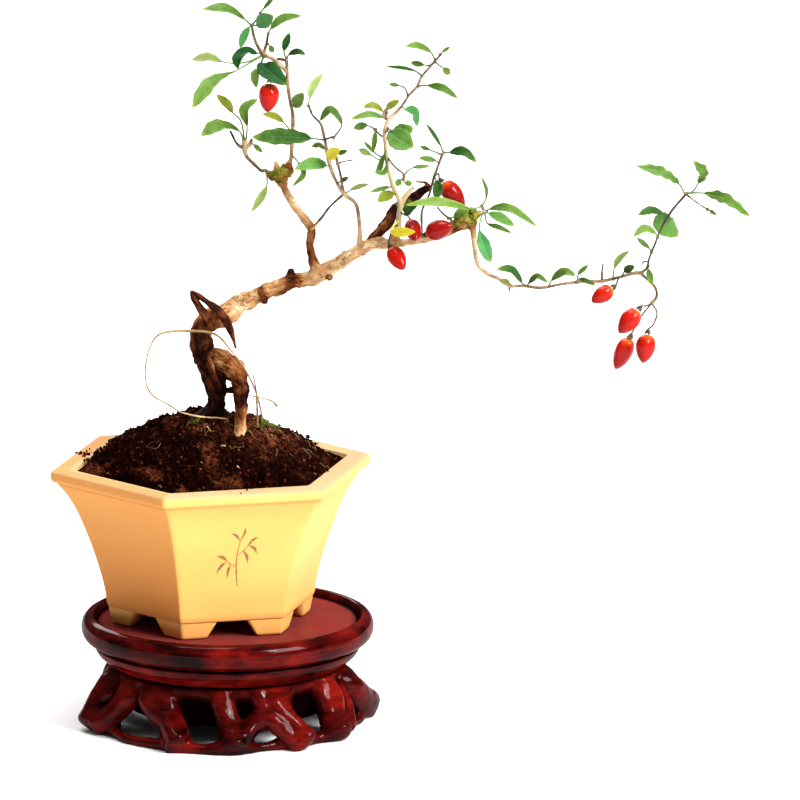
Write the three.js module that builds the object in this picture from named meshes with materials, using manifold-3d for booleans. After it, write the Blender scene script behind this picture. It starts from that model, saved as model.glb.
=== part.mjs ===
// Goji berry bonsai in a six-sided ceramic pot on a carved wooden stand.
// Millimetres, +Z up. The plant is seen from the -Y side and its long branch reaches towards +X.

import * as THREE from 'three';
import { mergeVertices } from 'three/addons/utils/BufferGeometryUtils.js';
import Module from 'manifold-3d';

const wasm = await Module();
wasm.setup();

// Driving sizes, all in millimetres unless the name says degrees.
const GAP = 0.3;

const PLATE_RADIUS = 73;
const PLATE_BOTTOM = 31;
const PLATE_FLOOR = 52.5;
const PLATE_RIM_TOP = 56.2;
const PLATE_RECESS_RADIUS = 65.2;

const ROOTS_TOP = PLATE_BOTTOM - GAP;
const APRON_INNER_RADIUS = 47;
const APRON_OUTER_RADIUS = 57.5;
const APRON_BOTTOM = 10;

const POT_BOTTOM = PLATE_FLOOR + GAP;
const POT_HEIGHT = 79.5;
const POT_RIM_RADIUS = 82.5;
const POT_LIP_INNER_RADIUS = 70.4;
const POT_BASE_RADIUS = 53;
const POT_FOOT_HEIGHT = 8.8;
const POT_FLOOR_TOP = 15.5;
const POT_TURN_DEGREES = 14;
const POT_CENTRE = new THREE.Vector2(-8.2, 4.5);
const POT_SIDES = 6;
const FOOT_OUTER_RADIUS = 52.8;
const FOOT_INNER_RADIUS = 43.5;
const FOOT_SINK = 0.8;
const FOOT_GAP_TOP = 15.5;
const FOOT_GAP_BOTTOM = 26;
const DRAIN_HOLE_RADIUS = 9;

const SOIL_GAP = 0.4;
const SOIL_EDGE_DROP = 1.5;
const SOIL_MOUND = 24;

const SCREEN_SIDE = 26;
const SCREEN_THICKNESS = 1.2;
const SCREEN_HOLE_SIDE = 5;
const SCREEN_HOLES_ACROSS = 3;

const BLADE_THICKNESS = 0.7;
const BLADE_TIP_WIDTH = 0.5;
const PETIOLE_RADIUS = 0.5;
const CALYX_LENGTH = 2.6;
const CALYX_RADIUS = 1.6;
const CALYX_NECK_RADIUS = 0.7;

// Each material's colour, roughness and metalness.
const LOOKS = {
  stand: { color: 0x6e140f, roughness: 0.25, metalness: 0 },
  pot: { color: 0xe8c46a, roughness: 0.6, metalness: 0 },
  screen: { color: 0x2b2b2b, roughness: 0.6, metalness: 0 },
  soil: { color: 0x2a120c, roughness: 0.95, metalness: 0 },
  bark: { color: 0xa07a52, roughness: 0.85, metalness: 0 },
  straw: { color: 0xc9a672, roughness: 0.8, metalness: 0 },
  foliage: { color: 0x4f8f35, roughness: 0.5, metalness: 0 },
  berry: { color: 0xe1180c, roughness: 0.3, metalness: 0 },
};

// The plant is laid out on a front drawing, seen slightly from above. A place on it is
// [u, v, depth]: u to the right, v down, both in drawing units, and depth behind the middle of
// the stand, which DEPTH_SPREAD turns into millimetres.
const UNITS_PER_MM = 2.01;
const DEPTH_SPREAD = 1.5;
const EYE_LIFT = THREE.MathUtils.degToRad(13);
const STAND_AXIS_U = 227.1;
const FLOOR_V = 723.1;

function place([u, v, depth]) {
  const right = (u - STAND_AXIS_U) / UNITS_PER_MM;
  const back = depth * DEPTH_SPREAD;
  const height = (FLOOR_V - v) / (UNITS_PER_MM * Math.cos(EYE_LIFT)) - back * Math.tan(EYE_LIFT);
  return new THREE.Vector3(right, back, height);
}

const TOWARDS_EYE = new THREE.Vector3(0, -Math.cos(EYE_LIFT), Math.sin(EYE_LIFT));

// Solids.

// Welds a closed surface at its seams, drops slivers without area and turns it to face outwards.
function solidOf(surface) {
  const bare = surface.clone();
  bare.deleteAttribute('normal');
  bare.deleteAttribute('uv');
  const welded = mergeVertices(bare, 1e-4);
  const points = welded.getAttribute('position');
  const corners = welded.getIndex().array;
  const kept = [];
  let sixVolumes = 0;
  const [a, b, c] = [new THREE.Vector3(), new THREE.Vector3(), new THREE.Vector3()];
  for (let i = 0; i < corners.length; i += 3) {
    const [p, q, r] = [corners[i], corners[i + 1], corners[i + 2]];
    if (p === q || q === r || r === p) continue;
    kept.push([p, q, r]);
    a.fromBufferAttribute(points, p);
    b.fromBufferAttribute(points, q);
    c.fromBufferAttribute(points, r);
    sixVolumes += a.dot(b.cross(c));
  }
  const outward = sixVolumes > 0 ? kept : kept.map(([p, q, r]) => [p, r, q]);
  return new wasm.Manifold(new wasm.Mesh({
    numProp: 3,
    vertProperties: new Float32Array(points.array),
    triVerts: new Uint32Array(outward.flat()),
  }));
}

function joined(solids) {
  return solids.reduce((whole, solid) => whole.add(solid));
}

function pieceOf(name, solid, look) {
  const mesh = solid.getMesh();
  const surface = new THREE.BufferGeometry();
  surface.setAttribute('position', new THREE.BufferAttribute(mesh.vertProperties, 3));
  surface.setIndex(new THREE.BufferAttribute(mesh.triVerts, 1));
  surface.computeVertexNormals();
  const piece = new THREE.Mesh(surface, new THREE.MeshStandardMaterial(look));
  piece.name = name;
  return piece;
}

// A turned solid about +Z from [radius, height] pairs; six segments make a hexagon.
function turned(profile, segments, startDegrees = 0) {
  const points = profile.map(([radius, height]) => new THREE.Vector2(radius, height));
  const start = THREE.MathUtils.degToRad(startDegrees);
  const surface = new THREE.LatheGeometry(points, segments, start, 2 * Math.PI);
  return surface.rotateX(Math.PI / 2);
}

function box(width, depth, height, x, y, z) {
  return solidOf(new THREE.BoxGeometry(width, depth, height).translate(x, y, z));
}

// A tapered, bent stick through the given points: a capped cylinder whose rings follow the curve.
// The rings are carried along without twisting, and the end caps are square to the end segments.
function limb(points, radii, { sides = 6, perSpan = 2, lumps = 0 } = {}) {
  const curve = new THREE.CatmullRomCurve3(points, false, 'centripetal');
  const spans = points.length - 1;
  const steps = spans * perSpan;
  const headings = [];
  for (let i = 0; i <= steps; i += 1) headings.push(curve.getTangent(i / steps));
  headings[0] = points[1].clone().sub(points[0]).normalize();
  headings[steps] = points[spans].clone().sub(points[spans - 1]).normalize();
  const steep = Math.abs(headings[0].z) > 0.9;
  const across = steep ? new THREE.Vector3(1, 0, 0) : new THREE.Vector3(0, 0, 1);
  const rings = headings.map((heading, i) => {
    across.addScaledVector(heading, -across.dot(heading)).normalize();
    const middle = curve.getPoint(i / steps);
    return { middle, across: across.clone(), beside: heading.clone().cross(across) };
  });
  const surface = new THREE.CylinderGeometry(1, 1, 1, sides, steps);
  const vertices = surface.getAttribute('position');
  const vertex = new THREE.Vector3();
  for (let i = 0; i < vertices.count; i += 1) {
    vertex.fromBufferAttribute(vertices, i);
    const along = (0.5 - vertex.y) * steps;
    const ring = rings[Math.round(along)];
    const span = Math.min(Math.floor(along / perSpan), spans - 1);
    const radius = THREE.MathUtils.lerp(radii[span], radii[span + 1], along / perSpan - span);
    const angle = Math.atan2(vertex.z, vertex.x);
    const swell = 1 + lumps * (Math.sin(3 * angle + 1.9 * along) + Math.sin(2 * angle - 1.3 * along));
    const moved = ring.middle.clone();
    moved.addScaledVector(ring.across, vertex.x * radius * swell);
    moved.addScaledVector(ring.beside, vertex.z * radius * swell);
    vertices.setXYZ(i, moved.x, moved.y, moved.z);
  }
  return solidOf(surface);
}

// A limb from rows of [u, v, depth, radius] on the front drawing, made fatter and longer by grow.
function grown(rows, options = {}, grow = 0) {
  const points = rows.map(place);
  const ends = [[points[0], points[1]], [points.at(-1), points.at(-2)]];
  const outwards = ends.map(([end, next]) => end.clone().sub(next).normalize());
  ends.forEach(([end], index) => end.addScaledVector(outwards[index], grow));
  return limb(points, rows.map((row) => row[3] + grow), options);
}

// Leaf blades, petioles and berries.

// Half width of a lance-shaped blade, from 0 at its base to 0 at its tip and 1 at its widest.
function lance(s, widestAt) {
  const power = Math.log(0.5) / Math.log(widestAt);
  return Math.sin(Math.PI * s ** power) ** 0.9;
}

// A leaf: a narrow petiole along its stalk points, then the blade along its rib points. It is one
// thin sheet whose two faces are the same grid, a blade's thickness apart. A large blade is folded
// up along its midrib and waved along both edges; a small one is a plain strip.
const PLAIN_LEAF = { roll: 0, fold: 12, wave: 0.5, widestAt: 0.5, small: false };

function leaf(form) {
  const { stalk, rib, wide, roll, fold, wave, widestAt, small } = { ...PLAIN_LEAF, ...form };
  const steps = form.steps ?? (small ? 3 : 4);
  const curve = new THREE.CatmullRomCurve3([...stalk, ...rib].map(place), false, 'centripetal');
  const last = stalk.length + rib.length - 1;
  const rollAngle = THREE.MathUtils.degToRad(roll);
  const rise = Math.tan(THREE.MathUtils.degToRad(fold));
  const stations = stalk.map((_, index) => ({ at: index / last, half: PETIOLE_RADIUS, lift: () => 0 }));
  for (let i = 0; i <= steps; i += 1) {
    const s = i / steps;
    const endWidth = THREE.MathUtils.lerp(2 * PETIOLE_RADIUS, BLADE_TIP_WIDTH, s);
    const half = Math.max(wide * lance(s, widestAt), endWidth) / 2;
    const ripple = (lane) => wave * Math.sin(9 * s + 1.6 * lane) * lance(s, 0.5);
    const lift = small ? () => 0 : (lane) => Math.abs(lane) * (half * rise + ripple(lane));
    stations.push({ at: (stalk.length + s * (rib.length - 1)) / last, half, lift });
  }
  const lanes = small ? [-1, 1] : [-1, 0, 1];
  const faceAt = (shift) => stations.map(({ at, half, lift }) => {
    const heading = curve.getTangent(at);
    const facing = TOWARDS_EYE.clone().projectOnPlane(heading).normalize();
    const across = heading.clone().cross(facing).applyAxisAngle(heading, rollAngle);
    const up = across.clone().cross(heading).normalize();
    return lanes.map((lane) => curve.getPoint(at)
      .addScaledVector(across, lane * half).addScaledVector(up, lift(lane) + shift));
  });
  return solidOf(shellBetween(faceAt(BLADE_THICKNESS / 2), faceAt(-BLADE_THICKNESS / 2)));
}

// Closes two grids of the same shape into one surface, with a strip along each edge.
function shellBetween(top, bottom) {
  const rows = top.length;
  const columns = top[0].length;
  const at = (face, row, column) => (face * rows + row) * columns + column;
  const triangles = [];
  const quad = (a, b, c, d) => triangles.push(a, b, c, a, c, d);
  for (let row = 0; row < rows - 1; row += 1) {
    for (let column = 0; column < columns - 1; column += 1) {
      const corners = [[row, column], [row + 1, column], [row + 1, column + 1], [row, column + 1]];
      const [a, b, c, d] = corners.map(([r, k]) => at(0, r, k));
      const [e, f, g, h] = corners.map(([r, k]) => at(1, r, k));
      quad(a, b, c, d);
      triangles.push(e, g, f, e, h, g);
    }
    const end = columns - 1;
    quad(at(0, row, 0), at(1, row, 0), at(1, row + 1, 0), at(0, row + 1, 0));
    quad(at(0, row, end), at(0, row + 1, end), at(1, row + 1, end), at(1, row, end));
  }
  for (let column = 0; column < columns - 1; column += 1) {
    const end = rows - 1;
    quad(at(0, 0, column), at(0, 0, column + 1), at(1, 0, column + 1), at(1, 0, column));
    quad(at(0, end, column), at(1, end, column), at(1, end, column + 1), at(0, end, column + 1));
  }
  const surface = new THREE.BufferGeometry().setFromPoints([...top.flat(), ...bottom.flat()]);
  surface.setIndex(triangles);
  return surface;
}

// A fruit stalk that ends in a small cup, the calyx, just behind the place where the berry begins.
function fruitStalk({ stalk, neck, tip }) {
  const end = place(neck);
  const axis = place(tip).sub(end).normalize();
  const cupStart = end.clone().addScaledVector(axis, -CALYX_LENGTH);
  const cupMiddle = end.clone().addScaledVector(axis, -CALYX_LENGTH / 2);
  const points = [...stalk.map(place), cupStart, cupMiddle];
  const stem = limb(points, points.map(() => PETIOLE_RADIUS), { sides: 4, perSpan: 1 });
  return stem.add(limb([cupStart, end], [CALYX_NECK_RADIUS, CALYX_RADIUS], { sides: 6, perSpan: 1 }));
}

// A pointed oval berry that starts a gap beyond its calyx and hangs along its axis.
const BERRY_OUTLINE = [
  [0, 0], [0.5, 0.03], [0.88, 0.18], [1, 0.4], [0.93, 0.6], [0.74, 0.78], [0.4, 0.93], [0, 1],
];
const BERRY_SEGMENTS = 8;

function berry({ name, neck, tip, wide }) {
  const start = place(neck);
  const axis = place(tip).sub(start);
  const length = axis.length() - GAP;
  axis.normalize();
  const profile = BERRY_OUTLINE.map(([r, along]) => [r * wide / 2, along * length]);
  const piece = pieceOf(name, solidOf(turned(profile, BERRY_SEGMENTS)), LOOKS.berry);
  piece.position.copy(start).addScaledVector(axis, GAP);
  piece.quaternion.setFromUnitVectors(new THREE.Vector3(0, 0, 1), axis);
  return piece;
}

// Stand: a turned plate with a raised rim, on a wall that is carved into a ring of roots.

const PLATE_SEGMENTS = 28;

function standPlate() {
  const profile = [
    [0, PLATE_BOTTOM], [56, PLATE_BOTTOM], [61.5, 34.2], [65.8, 38], [66.4, 40.4], [65.6, 41.9],
    [70, 43.8], [72.4, 46.5], [PLATE_RADIUS, 49.5], [72.2, 53], [69.6, PLATE_RIM_TOP],
    [66.6, PLATE_RIM_TOP], [PLATE_RECESS_RADIUS, PLATE_FLOOR], [0, PLATE_FLOOR],
  ];
  return pieceOf('stand_plate', solidOf(turned(profile, PLATE_SEGMENTS)), LOOKS.stand);
}

const APRON_SEGMENTS = 20;
const FOOT_RING = { radius: 63.5, height: 4, thickness: 5.4, sides: 6, segments: 18 };

// Each carved root is rows of [degrees round from +X, radius, height, thickness radius].
const CARVED_ROOTS = [
  [[196, 51, 27, 8.5], [194, 58, 21, 8.6], [193, 65, 12, 7.8], [195, 70, 4, 7.4]],
  [[212, 52, 27, 7.5], [211, 59, 19, 6], [206, 64, 10, 5.8], [200, 68, 5, 6]],
  [[231, 51, 27, 8.5], [234, 56, 22, 9], [242, 60, 13, 6.4], [249, 67, 4, 7]],
  [[268, 53, 27, 6.4], [269, 58, 20, 5], [272, 62, 12, 5.2], [273, 67, 4, 7]],
  [[288, 53, 27, 6.4], [289, 59, 20, 5], [281, 62, 12, 4.8], [274, 65, 6, 5.4]],
  [[297, 51, 27, 8.5], [295, 57, 21, 7.6], [299, 62, 13, 6], [304, 68, 4, 7.2]],
  [[287, 58, 21, 4.4], [292, 63, 14, 4.8], [301, 66, 7, 5.6]],
  [[327, 51, 27, 8.5], [329, 57, 21, 8.2], [327, 62, 12, 6.4], [324, 68, 4, 7]],
  [[341, 57, 22, 5.4], [338, 62, 13, 5], [331, 66, 6, 5.6]],
  [[352, 51, 27, 8.5], [353, 59, 21, 8.2], [2, 66, 12, 7.2], [11, 71, 5, 6.6]],
  [[34, 51, 27, 8.5], [37, 58, 21, 7.8], [42, 62, 12, 6], [45, 68, 4, 7]],
  [[60, 53, 27, 6.4], [58, 59, 20, 5.4], [52, 62, 11, 5.2], [46, 66, 5, 6]],
  [[82, 51, 27, 8.5], [80, 57, 21, 8], [76, 62, 12, 6.4], [73, 68, 4, 7]],
  [[109, 52, 27, 7.4], [111, 58, 20, 6.2], [114, 62, 12, 5.8], [116, 68, 4, 7]],
  [[134, 53, 27, 6.4], [130, 59, 20, 5.2], [123, 62, 11, 5], [117, 66, 5, 6]],
  [[158, 51, 27, 8.5], [157, 58, 21, 8], [154, 63, 12, 6.6], [152, 69, 4, 7]],
  [[173, 56, 23, 6], [177, 61, 15, 5.4], [185, 66, 7, 6]],
];

function round([degrees, radius, height]) {
  const angle = THREE.MathUtils.degToRad(degrees);
  return new THREE.Vector3(radius * Math.cos(angle), radius * Math.sin(angle), height);
}

// Turns each row the short way round from the one before it.
function unwrapped(rows) {
  let last = rows[0][0];
  return rows.map(([degrees, ...rest]) => {
    last += THREE.MathUtils.euclideanModulo(degrees - last + 180, 360) - 180;
    return [last, ...rest];
  });
}

// The low ring that joins the feet of the roots: a turned ring, pushed in and out around its way.
function footRing() {
  const section = [];
  for (let side = 0; side <= FOOT_RING.sides; side += 1) {
    const angle = 2 * Math.PI * side / FOOT_RING.sides;
    const out = FOOT_RING.thickness * Math.cos(angle);
    section.push([FOOT_RING.radius + out, FOOT_RING.height + FOOT_RING.thickness * Math.sin(angle)]);
  }
  const surface = turned(section, FOOT_RING.segments);
  const vertices = surface.getAttribute('position');
  for (let i = 0; i < vertices.count; i += 1) {
    const angle = Math.atan2(vertices.getY(i), vertices.getX(i));
    const stretch = 1 + 0.03 * Math.sin(3 * angle + 1) + 0.02 * Math.sin(7 * angle);
    vertices.setX(i, vertices.getX(i) * stretch);
    vertices.setY(i, vertices.getY(i) * stretch);
  }
  return solidOf(surface);
}

function carvedRoots() {
  const apronProfile = [
    [APRON_INNER_RADIUS, ROOTS_TOP], [APRON_INNER_RADIUS, APRON_BOTTOM], [50.5, APRON_BOTTOM],
    [53, 15], [54, 22], [APRON_OUTER_RADIUS, 27], [APRON_OUTER_RADIUS, ROOTS_TOP],
    [APRON_INNER_RADIUS, ROOTS_TOP],
  ];
  const apron = solidOf(turned(apronProfile, APRON_SEGMENTS));
  const roots = CARVED_ROOTS.map((rows) => limb(
    unwrapped(rows).map(round), rows.map((row) => row[3]), { sides: 5, perSpan: 1, lumps: 0.05 },
  ));
  const rough = joined([apron, footRing(), ...roots]);
  const reach = 4 * PLATE_RADIUS;
  const below = box(reach, reach, reach, 0, 0, -reach / 2);
  const above = box(reach, reach, reach, 0, 0, ROOTS_TOP + reach / 2);
  return pieceOf('stand_roots', rough.subtract(below).subtract(above), LOOKS.stand);
}

// Pot: a flared hexagon with a rounded lip, standing on six corner feet.

// Inner wall of the pot as [corner radius, height], from the lip down to the floor.
const POT_INSIDE = [
  [70, 78.3], [62.6, 60], [56, 41.5], [49.8, 22], [47.6, 17], [45.6, POT_FLOOR_TOP],
];

function hexagonStart() {
  return 180 / POT_SIDES;
}

function pot() {
  const profile = [
    [0, POT_FOOT_HEIGHT], [POT_BASE_RADIUS, POT_FOOT_HEIGHT], [54.6, 17], [57.2, 27], [61.2, 39.5],
    [65.3, 50], [69, 58.4], [73.6, 66.2], [78.4, 72.3], [79.6, 73.4], [81.9, 74.2],
    [POT_RIM_RADIUS, 76], [POT_RIM_RADIUS - 0.1, 77.8], [81.6, 79.1], [80.4, POT_HEIGHT],
    [71.4, POT_HEIGHT], [POT_LIP_INNER_RADIUS, 79.2], ...POT_INSIDE, [0, POT_FLOOR_TOP],
  ];
  const body = solidOf(turned(profile, POT_SIDES, hexagonStart()));
  const feetTop = POT_FOOT_HEIGHT + FOOT_SINK;
  const feetProfile = [
    [FOOT_OUTER_RADIUS, feetTop], [50.8, 1.2], [50, 0], [FOOT_INNER_RADIUS, 0],
    [FOOT_INNER_RADIUS, feetTop], [FOOT_OUTER_RADIUS, feetTop],
  ];
  let feet = solidOf(turned(feetProfile, POT_SIDES, hexagonStart()));
  for (let side = 0; side < POT_SIDES / 2; side += 1) {
    feet = feet.subtract(footGap(side * 360 / POT_SIDES));
  }
  const hole = new THREE.CylinderGeometry(DRAIN_HOLE_RADIUS, DRAIN_HOLE_RADIUS, POT_FLOOR_TOP, 16);
  hole.rotateX(Math.PI / 2).translate(0, 0, POT_FLOOR_TOP);
  return pieceOf('pot', body.add(feet).subtract(solidOf(hole)), LOOKS.pot);
}

// The trapezoid passage between two neighbouring feet, run right through to the far side.
function footGap(degrees) {
  const [top, bottom, tall] = [FOOT_GAP_TOP / 2, FOOT_GAP_BOTTOM / 2, POT_FOOT_HEIGHT + 2 * FOOT_SINK];
  const slope = (bottom - top) / POT_FOOT_HEIGHT;
  const outline = new THREE.Shape();
  outline.moveTo(-bottom - slope, -1);
  outline.lineTo(bottom + slope, -1);
  outline.lineTo(top, POT_FOOT_HEIGHT);
  outline.lineTo(top, tall);
  outline.lineTo(-top, tall);
  outline.lineTo(-top, POT_FOOT_HEIGHT);
  const reach = 2 * POT_RIM_RADIUS;
  const prism = new THREE.ExtrudeGeometry(outline, { depth: reach, bevelEnabled: false });
  prism.translate(0, 0, -reach / 2).rotateX(Math.PI / 2).rotateZ(THREE.MathUtils.degToRad(degrees));
  return solidOf(prism);
}

// A square of plastic mesh over the drainage hole, under the soil.
function drainScreen() {
  const middle = POT_FLOOR_TOP + GAP + SCREEN_THICKNESS / 2;
  const pitch = SCREEN_SIDE / (SCREEN_HOLES_ACROSS + 0.5);
  const first = -pitch * (SCREEN_HOLES_ACROSS - 1) / 2;
  let sheet = box(SCREEN_SIDE, SCREEN_SIDE, SCREEN_THICKNESS, 0, 0, middle);
  for (let row = 0; row < SCREEN_HOLES_ACROSS; row += 1) {
    for (let column = 0; column < SCREEN_HOLES_ACROSS; column += 1) {
      const [x, y] = [first + column * pitch, first + row * pitch];
      const hole = box(SCREEN_HOLE_SIDE, SCREEN_HOLE_SIDE, 3 * SCREEN_THICKNESS, x, y, middle);
      sheet = sheet.subtract(hole);
    }
  }
  return pieceOf('drain_screen', sheet, LOOKS.screen);
}

// Soil: fills the pot to just under its rim and rises to a mound around the trunk.

const SOIL_SEGMENTS = 24;
const SOIL_RINGS = 6;

function soilSolid() {
  const edgeHeight = POT_HEIGHT - SOIL_EDGE_DROP;
  const [lip, ...lower] = POT_INSIDE.map(([radius]) => radius - SOIL_GAP);
  const heights = POT_INSIDE.slice(1).map(([, height]) => height);
  const wall = lower.map((radius, index) => [radius, heights[index]]).reverse();
  wall[0] = [wall[0][0] - SOIL_GAP, POT_FLOOR_TOP + GAP];
  const profile = [[0, POT_FLOOR_TOP + GAP], ...wall];
  for (let ring = SOIL_RINGS; ring >= 0; ring -= 1) profile.push([lip * ring / SOIL_RINGS, edgeHeight]);
  const surface = turned(profile, SOIL_SEGMENTS, hexagonStart());
  const vertices = surface.getAttribute('position');
  const vertex = new THREE.Vector3();
  const sector = 2 * Math.PI / POT_SIDES;
  for (let i = 0; i < vertices.count; i += 1) {
    vertex.fromBufferAttribute(vertices, i);
    const radius = Math.hypot(vertex.x, vertex.y);
    const bearing = Math.atan2(vertex.x, -vertex.y);
    const offFace = THREE.MathUtils.euclideanModulo(bearing, sector) - sector / 2;
    const flat = Math.cos(sector / 2) / Math.cos(Math.abs(offFace) - sector / 2);
    const onTop = vertex.z > edgeHeight - 1e-3;
    const lift = onTop ? moundHeight(radius / lip, vertex.x, vertex.y) : 0;
    vertices.setXYZ(i, vertex.x * flat, vertex.y * flat, vertex.z + lift);
  }
  surface.rotateZ(THREE.MathUtils.degToRad(POT_TURN_DEGREES));
  surface.translate(POT_CENTRE.x, POT_CENTRE.y, POT_BOTTOM);
  return solidOf(surface);
}

// Height of the mound over the soil's edge: highest a little behind the middle, crumbly all over.
function moundHeight(outward, x, y) {
  const dome = SOIL_MOUND * Math.max(0, 1 - outward ** 2) ** 1.5 * (1 + 0.28 * y / POT_BASE_RADIUS);
  const crumbs = 1.1 * Math.sin(0.31 * x + 1) * Math.sin(0.27 * y) + 0.8 * Math.sin(0.55 * x - 0.43 * y);
  return dome + crumbs * (1 - outward ** 4);
}

// Woody parts, as rows of [u, v, depth, radius] on the front drawing.

const TRUNK_LINE = [
  [214, 440, 9, 3.2], [213, 424, 8, 4.6], [217, 406, 7, 4], [216, 390, 6, 4.6], [209, 366, 5, 5.2],
  [203, 346, 4, 5.2], [202, 331, 4, 5.8], [210, 320, 5, 5.6], [226, 314, 6, 4.7], [240, 305, 7, 4.3],
  [256, 296, 8, 4.2], [272, 289, 8, 3.9], [290, 282, 8, 3.9], [305, 280, 8, 3.5], [319, 273, 7, 3.7],
  [340, 263, 5, 3.3], [360, 250, 3, 3.1], [376, 243, 1, 3], [390, 244, -2, 2.1], [406, 243, -4, 1.8],
  [421, 240.5, -6, 1.6], [438, 237, -8, 1.5], [453, 231, -9, 1.6], [465, 226, -10, 1.9],
  [474, 225, -10, 1.8],
];
const SIDE_ROOT = [[215, 402, 6, 3], [207, 411, 4, 2.6], [197, 418, 1, 2], [186, 428, -3, 1.4]];
const RIGHT_ROOT = [
  [206, 354, 4, 4], [221, 360, 2, 5], [235, 370, 0, 4.9], [241, 385, -1, 4], [240.5, 402, -2, 3.2],
  [240.5, 420, -4, 3.1], [240, 440, -6, 3.2], [238, 458, -8, 2.6],
];
const UPPER_WEB = [[211, 370, 4, 4], [224, 374, 2, 2.8], [237, 376, -1, 3.2]];
const LOWER_WEB = [[215, 390, 5, 3], [227, 390.5, 2, 1.2], [239, 389, -1, 2.4]];
const BARK_RIDGE = [[206, 352, -1, 1.4], [211, 366, -1, 1.8], [215, 380, 1, 1.6], [220, 389, 3, 1.4]];
const SNAG_BLADE = [
  [192, 291.5, -5, 0.7], [199, 296, -5.5, 1.4], [209, 303, -6, 1.5], [219, 311, -5, 1.9],
  [227.5, 323, -3.5, 2], [233, 336, -3, 1.3], [236, 348, -3, 0.6],
];
const SNAG_PRONG = [
  [191.5, 291.5, -5, 0.7], [195, 299, -5, 1.8], [202, 310, -4, 1.9], [208, 319, -2, 2.2], [210, 325, 1, 3],
];
const SNAG_HEEL = [[217, 312, -4, 2], [214, 318, -1, 2.6], [213, 323, 3, 3]];
const BRANCH_KNOBS = [
  [[290, 282, 8, 3], [291, 270.5, 8, 1.7]],
  [[342, 263, 5, 3], [345.5, 253, 5, 1.5]],
  [[262, 293, 7, 3], [265, 302, 6, 1.6]],
  [[327, 270, 6, 3], [330, 279, 6, 1.5]],
];
const DARK_LIMB = [
  [362, 251, 2.5, 2.2], [385, 226, 2, 3], [397, 210, 3, 2.9], [414, 198, 4, 2.6], [429, 187, 5, 1.6],
];
const DARK_LIMB_TWIG = [[424, 190, 4.6, 0.9], [427, 184, 4.6, 0.8], [416, 182, 4.6, 0.6]];
const NODE_BUD = [[470, 228, -10, 1.8], [474.5, 216, -10, 1.9], [470, 209.5, -9, 1.1]];
const CROWN_STEM = [
  [318, 274, 7, 3.2], [312.5, 258, 8, 2.2], [310, 244, 9, 2], [311.5, 229, 10, 2], [304, 218, 10.5, 2],
  [293, 204, 11, 1.8], [285, 189, 12, 1.8], [281, 179, 12, 2.2],
];
const CROWN_NODE = [[274, 181, 12, 1.7], [281, 177, 12, 2.5], [289, 170, 12, 1.9]];
const CUT_STUB = [[280, 178, 11, 1.4], [278, 171, 9, 1.2], [276.5, 163, 8, 0.9]];

// Where leafy stems grow on from the wood: [from, to, radius]. The wood ends square at "to", and
// the leafy stem begins a gap further along the same line.
const GRAFTS = {
  crownLeft: [[277, 178, 12], [269, 173, 12], 1.1],
  crownTop: [[288, 171, 12], [290.5, 161, 12], 1.2],
  middle: [[360, 248, 3], [360, 236, 2], 1.2],
  middleBrace: [[310, 231, 9.5], [319, 221, 8], 0.8],
  right: [[394, 243, -2], [397.5, 229, -4.5], 1.7],
  rightTwig: [[421, 240.5, -6], [421.5, 231, -6], 0.7],
  cascade: [[472, 225, -10], [473.5, 238, -11], 1.5],
  node: [[474, 216, -10], [480.5, 214, -10], 1.2],
  spur: [[455, 230, -9], [452, 223.5, -9.6], 0.9],
};
const GRAFT_START = 2;

function graftWood(name) {
  const [from, to, radius] = GRAFTS[name];
  return limb([place(from), place(to)], [radius * 1.3, radius], { sides: 5, perSpan: 1 });
}

// The first two rows of a leafy stem that grows on from the wood.
function graftStart(name) {
  const [from, to] = GRAFTS[name].slice(0, 2).map(place);
  const heading = to.clone().sub(from).normalize();
  return [GAP, GAP + GRAFT_START].map((reach) => to.clone().addScaledVector(heading, reach));
}

const STOUT = { sides: 6, perSpan: 1, lumps: 0.05 };
const SLIM = { sides: 6, perSpan: 1, lumps: 0.03 };
const FINE = { sides: 5, perSpan: 1, lumps: 0.03 };
const THIN = { sides: 4, perSpan: 1 };

function woodSolid() {
  return joined([
    ...[TRUNK_LINE, RIGHT_ROOT].map((rows) => grown(rows, STOUT)),
    ...[SIDE_ROOT, DARK_LIMB, CROWN_STEM].map((rows) => grown(rows, SLIM)),
    ...[UPPER_WEB, LOWER_WEB, BARK_RIDGE].map((rows) => grown(rows, SLIM)),
    ...[SNAG_BLADE, SNAG_PRONG, SNAG_HEEL].map((rows) => grown(rows, SLIM)),
    ...[NODE_BUD, CROWN_NODE, CUT_STUB, DARK_LIMB_TWIG].map((rows) => grown(rows, FINE)),
    ...BRANCH_KNOBS.map((rows) => grown(rows, FINE)),
    ...Object.keys(GRAFTS).map(graftWood),
  ]);
}

// A dry root strand that loops out from the trunk, and a dry sprig, both stuck in the soil.
const STRAND = [
  [201, 436, -3, 0.7], [196, 425, -3.5, 0.7], [189, 417, -5, 0.7], [181, 412, -7, 0.7],
  [168, 404, -9, 0.7], [154, 396, -9, 0.7], [148, 387, -9, 0.7], [146, 368, -8, 0.7],
  [152, 344, -7, 0.7], [160, 334.5, -6, 0.7], [188, 331, -4, 0.7], [216, 334.5, -5, 0.7],
  [231, 350, -8.5, 0.5], [242, 364, -7, 0.5], [249, 376, -2.5, 0.5], [256, 392, 3, 0.5],
  [261, 412, 6, 0.5], [261.5, 424, 7, 0.5], [261.5, 436, 8, 0.5],
];
const SPRIG = [
  [253, 374, -1, 0.4], [256, 389, 0, 0.5], [257, 403, 0, 0.5], [257.5, 416, 1, 0.6], [257.5, 440, 1, 0.6],
];
const SPRIG_TWIG = [[249.5, 395.5, -1, 0.4], [257, 397, 0, 0.4], [272, 401, 1, 0.4], [277, 405.5, 1, 0.7]];

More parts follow.
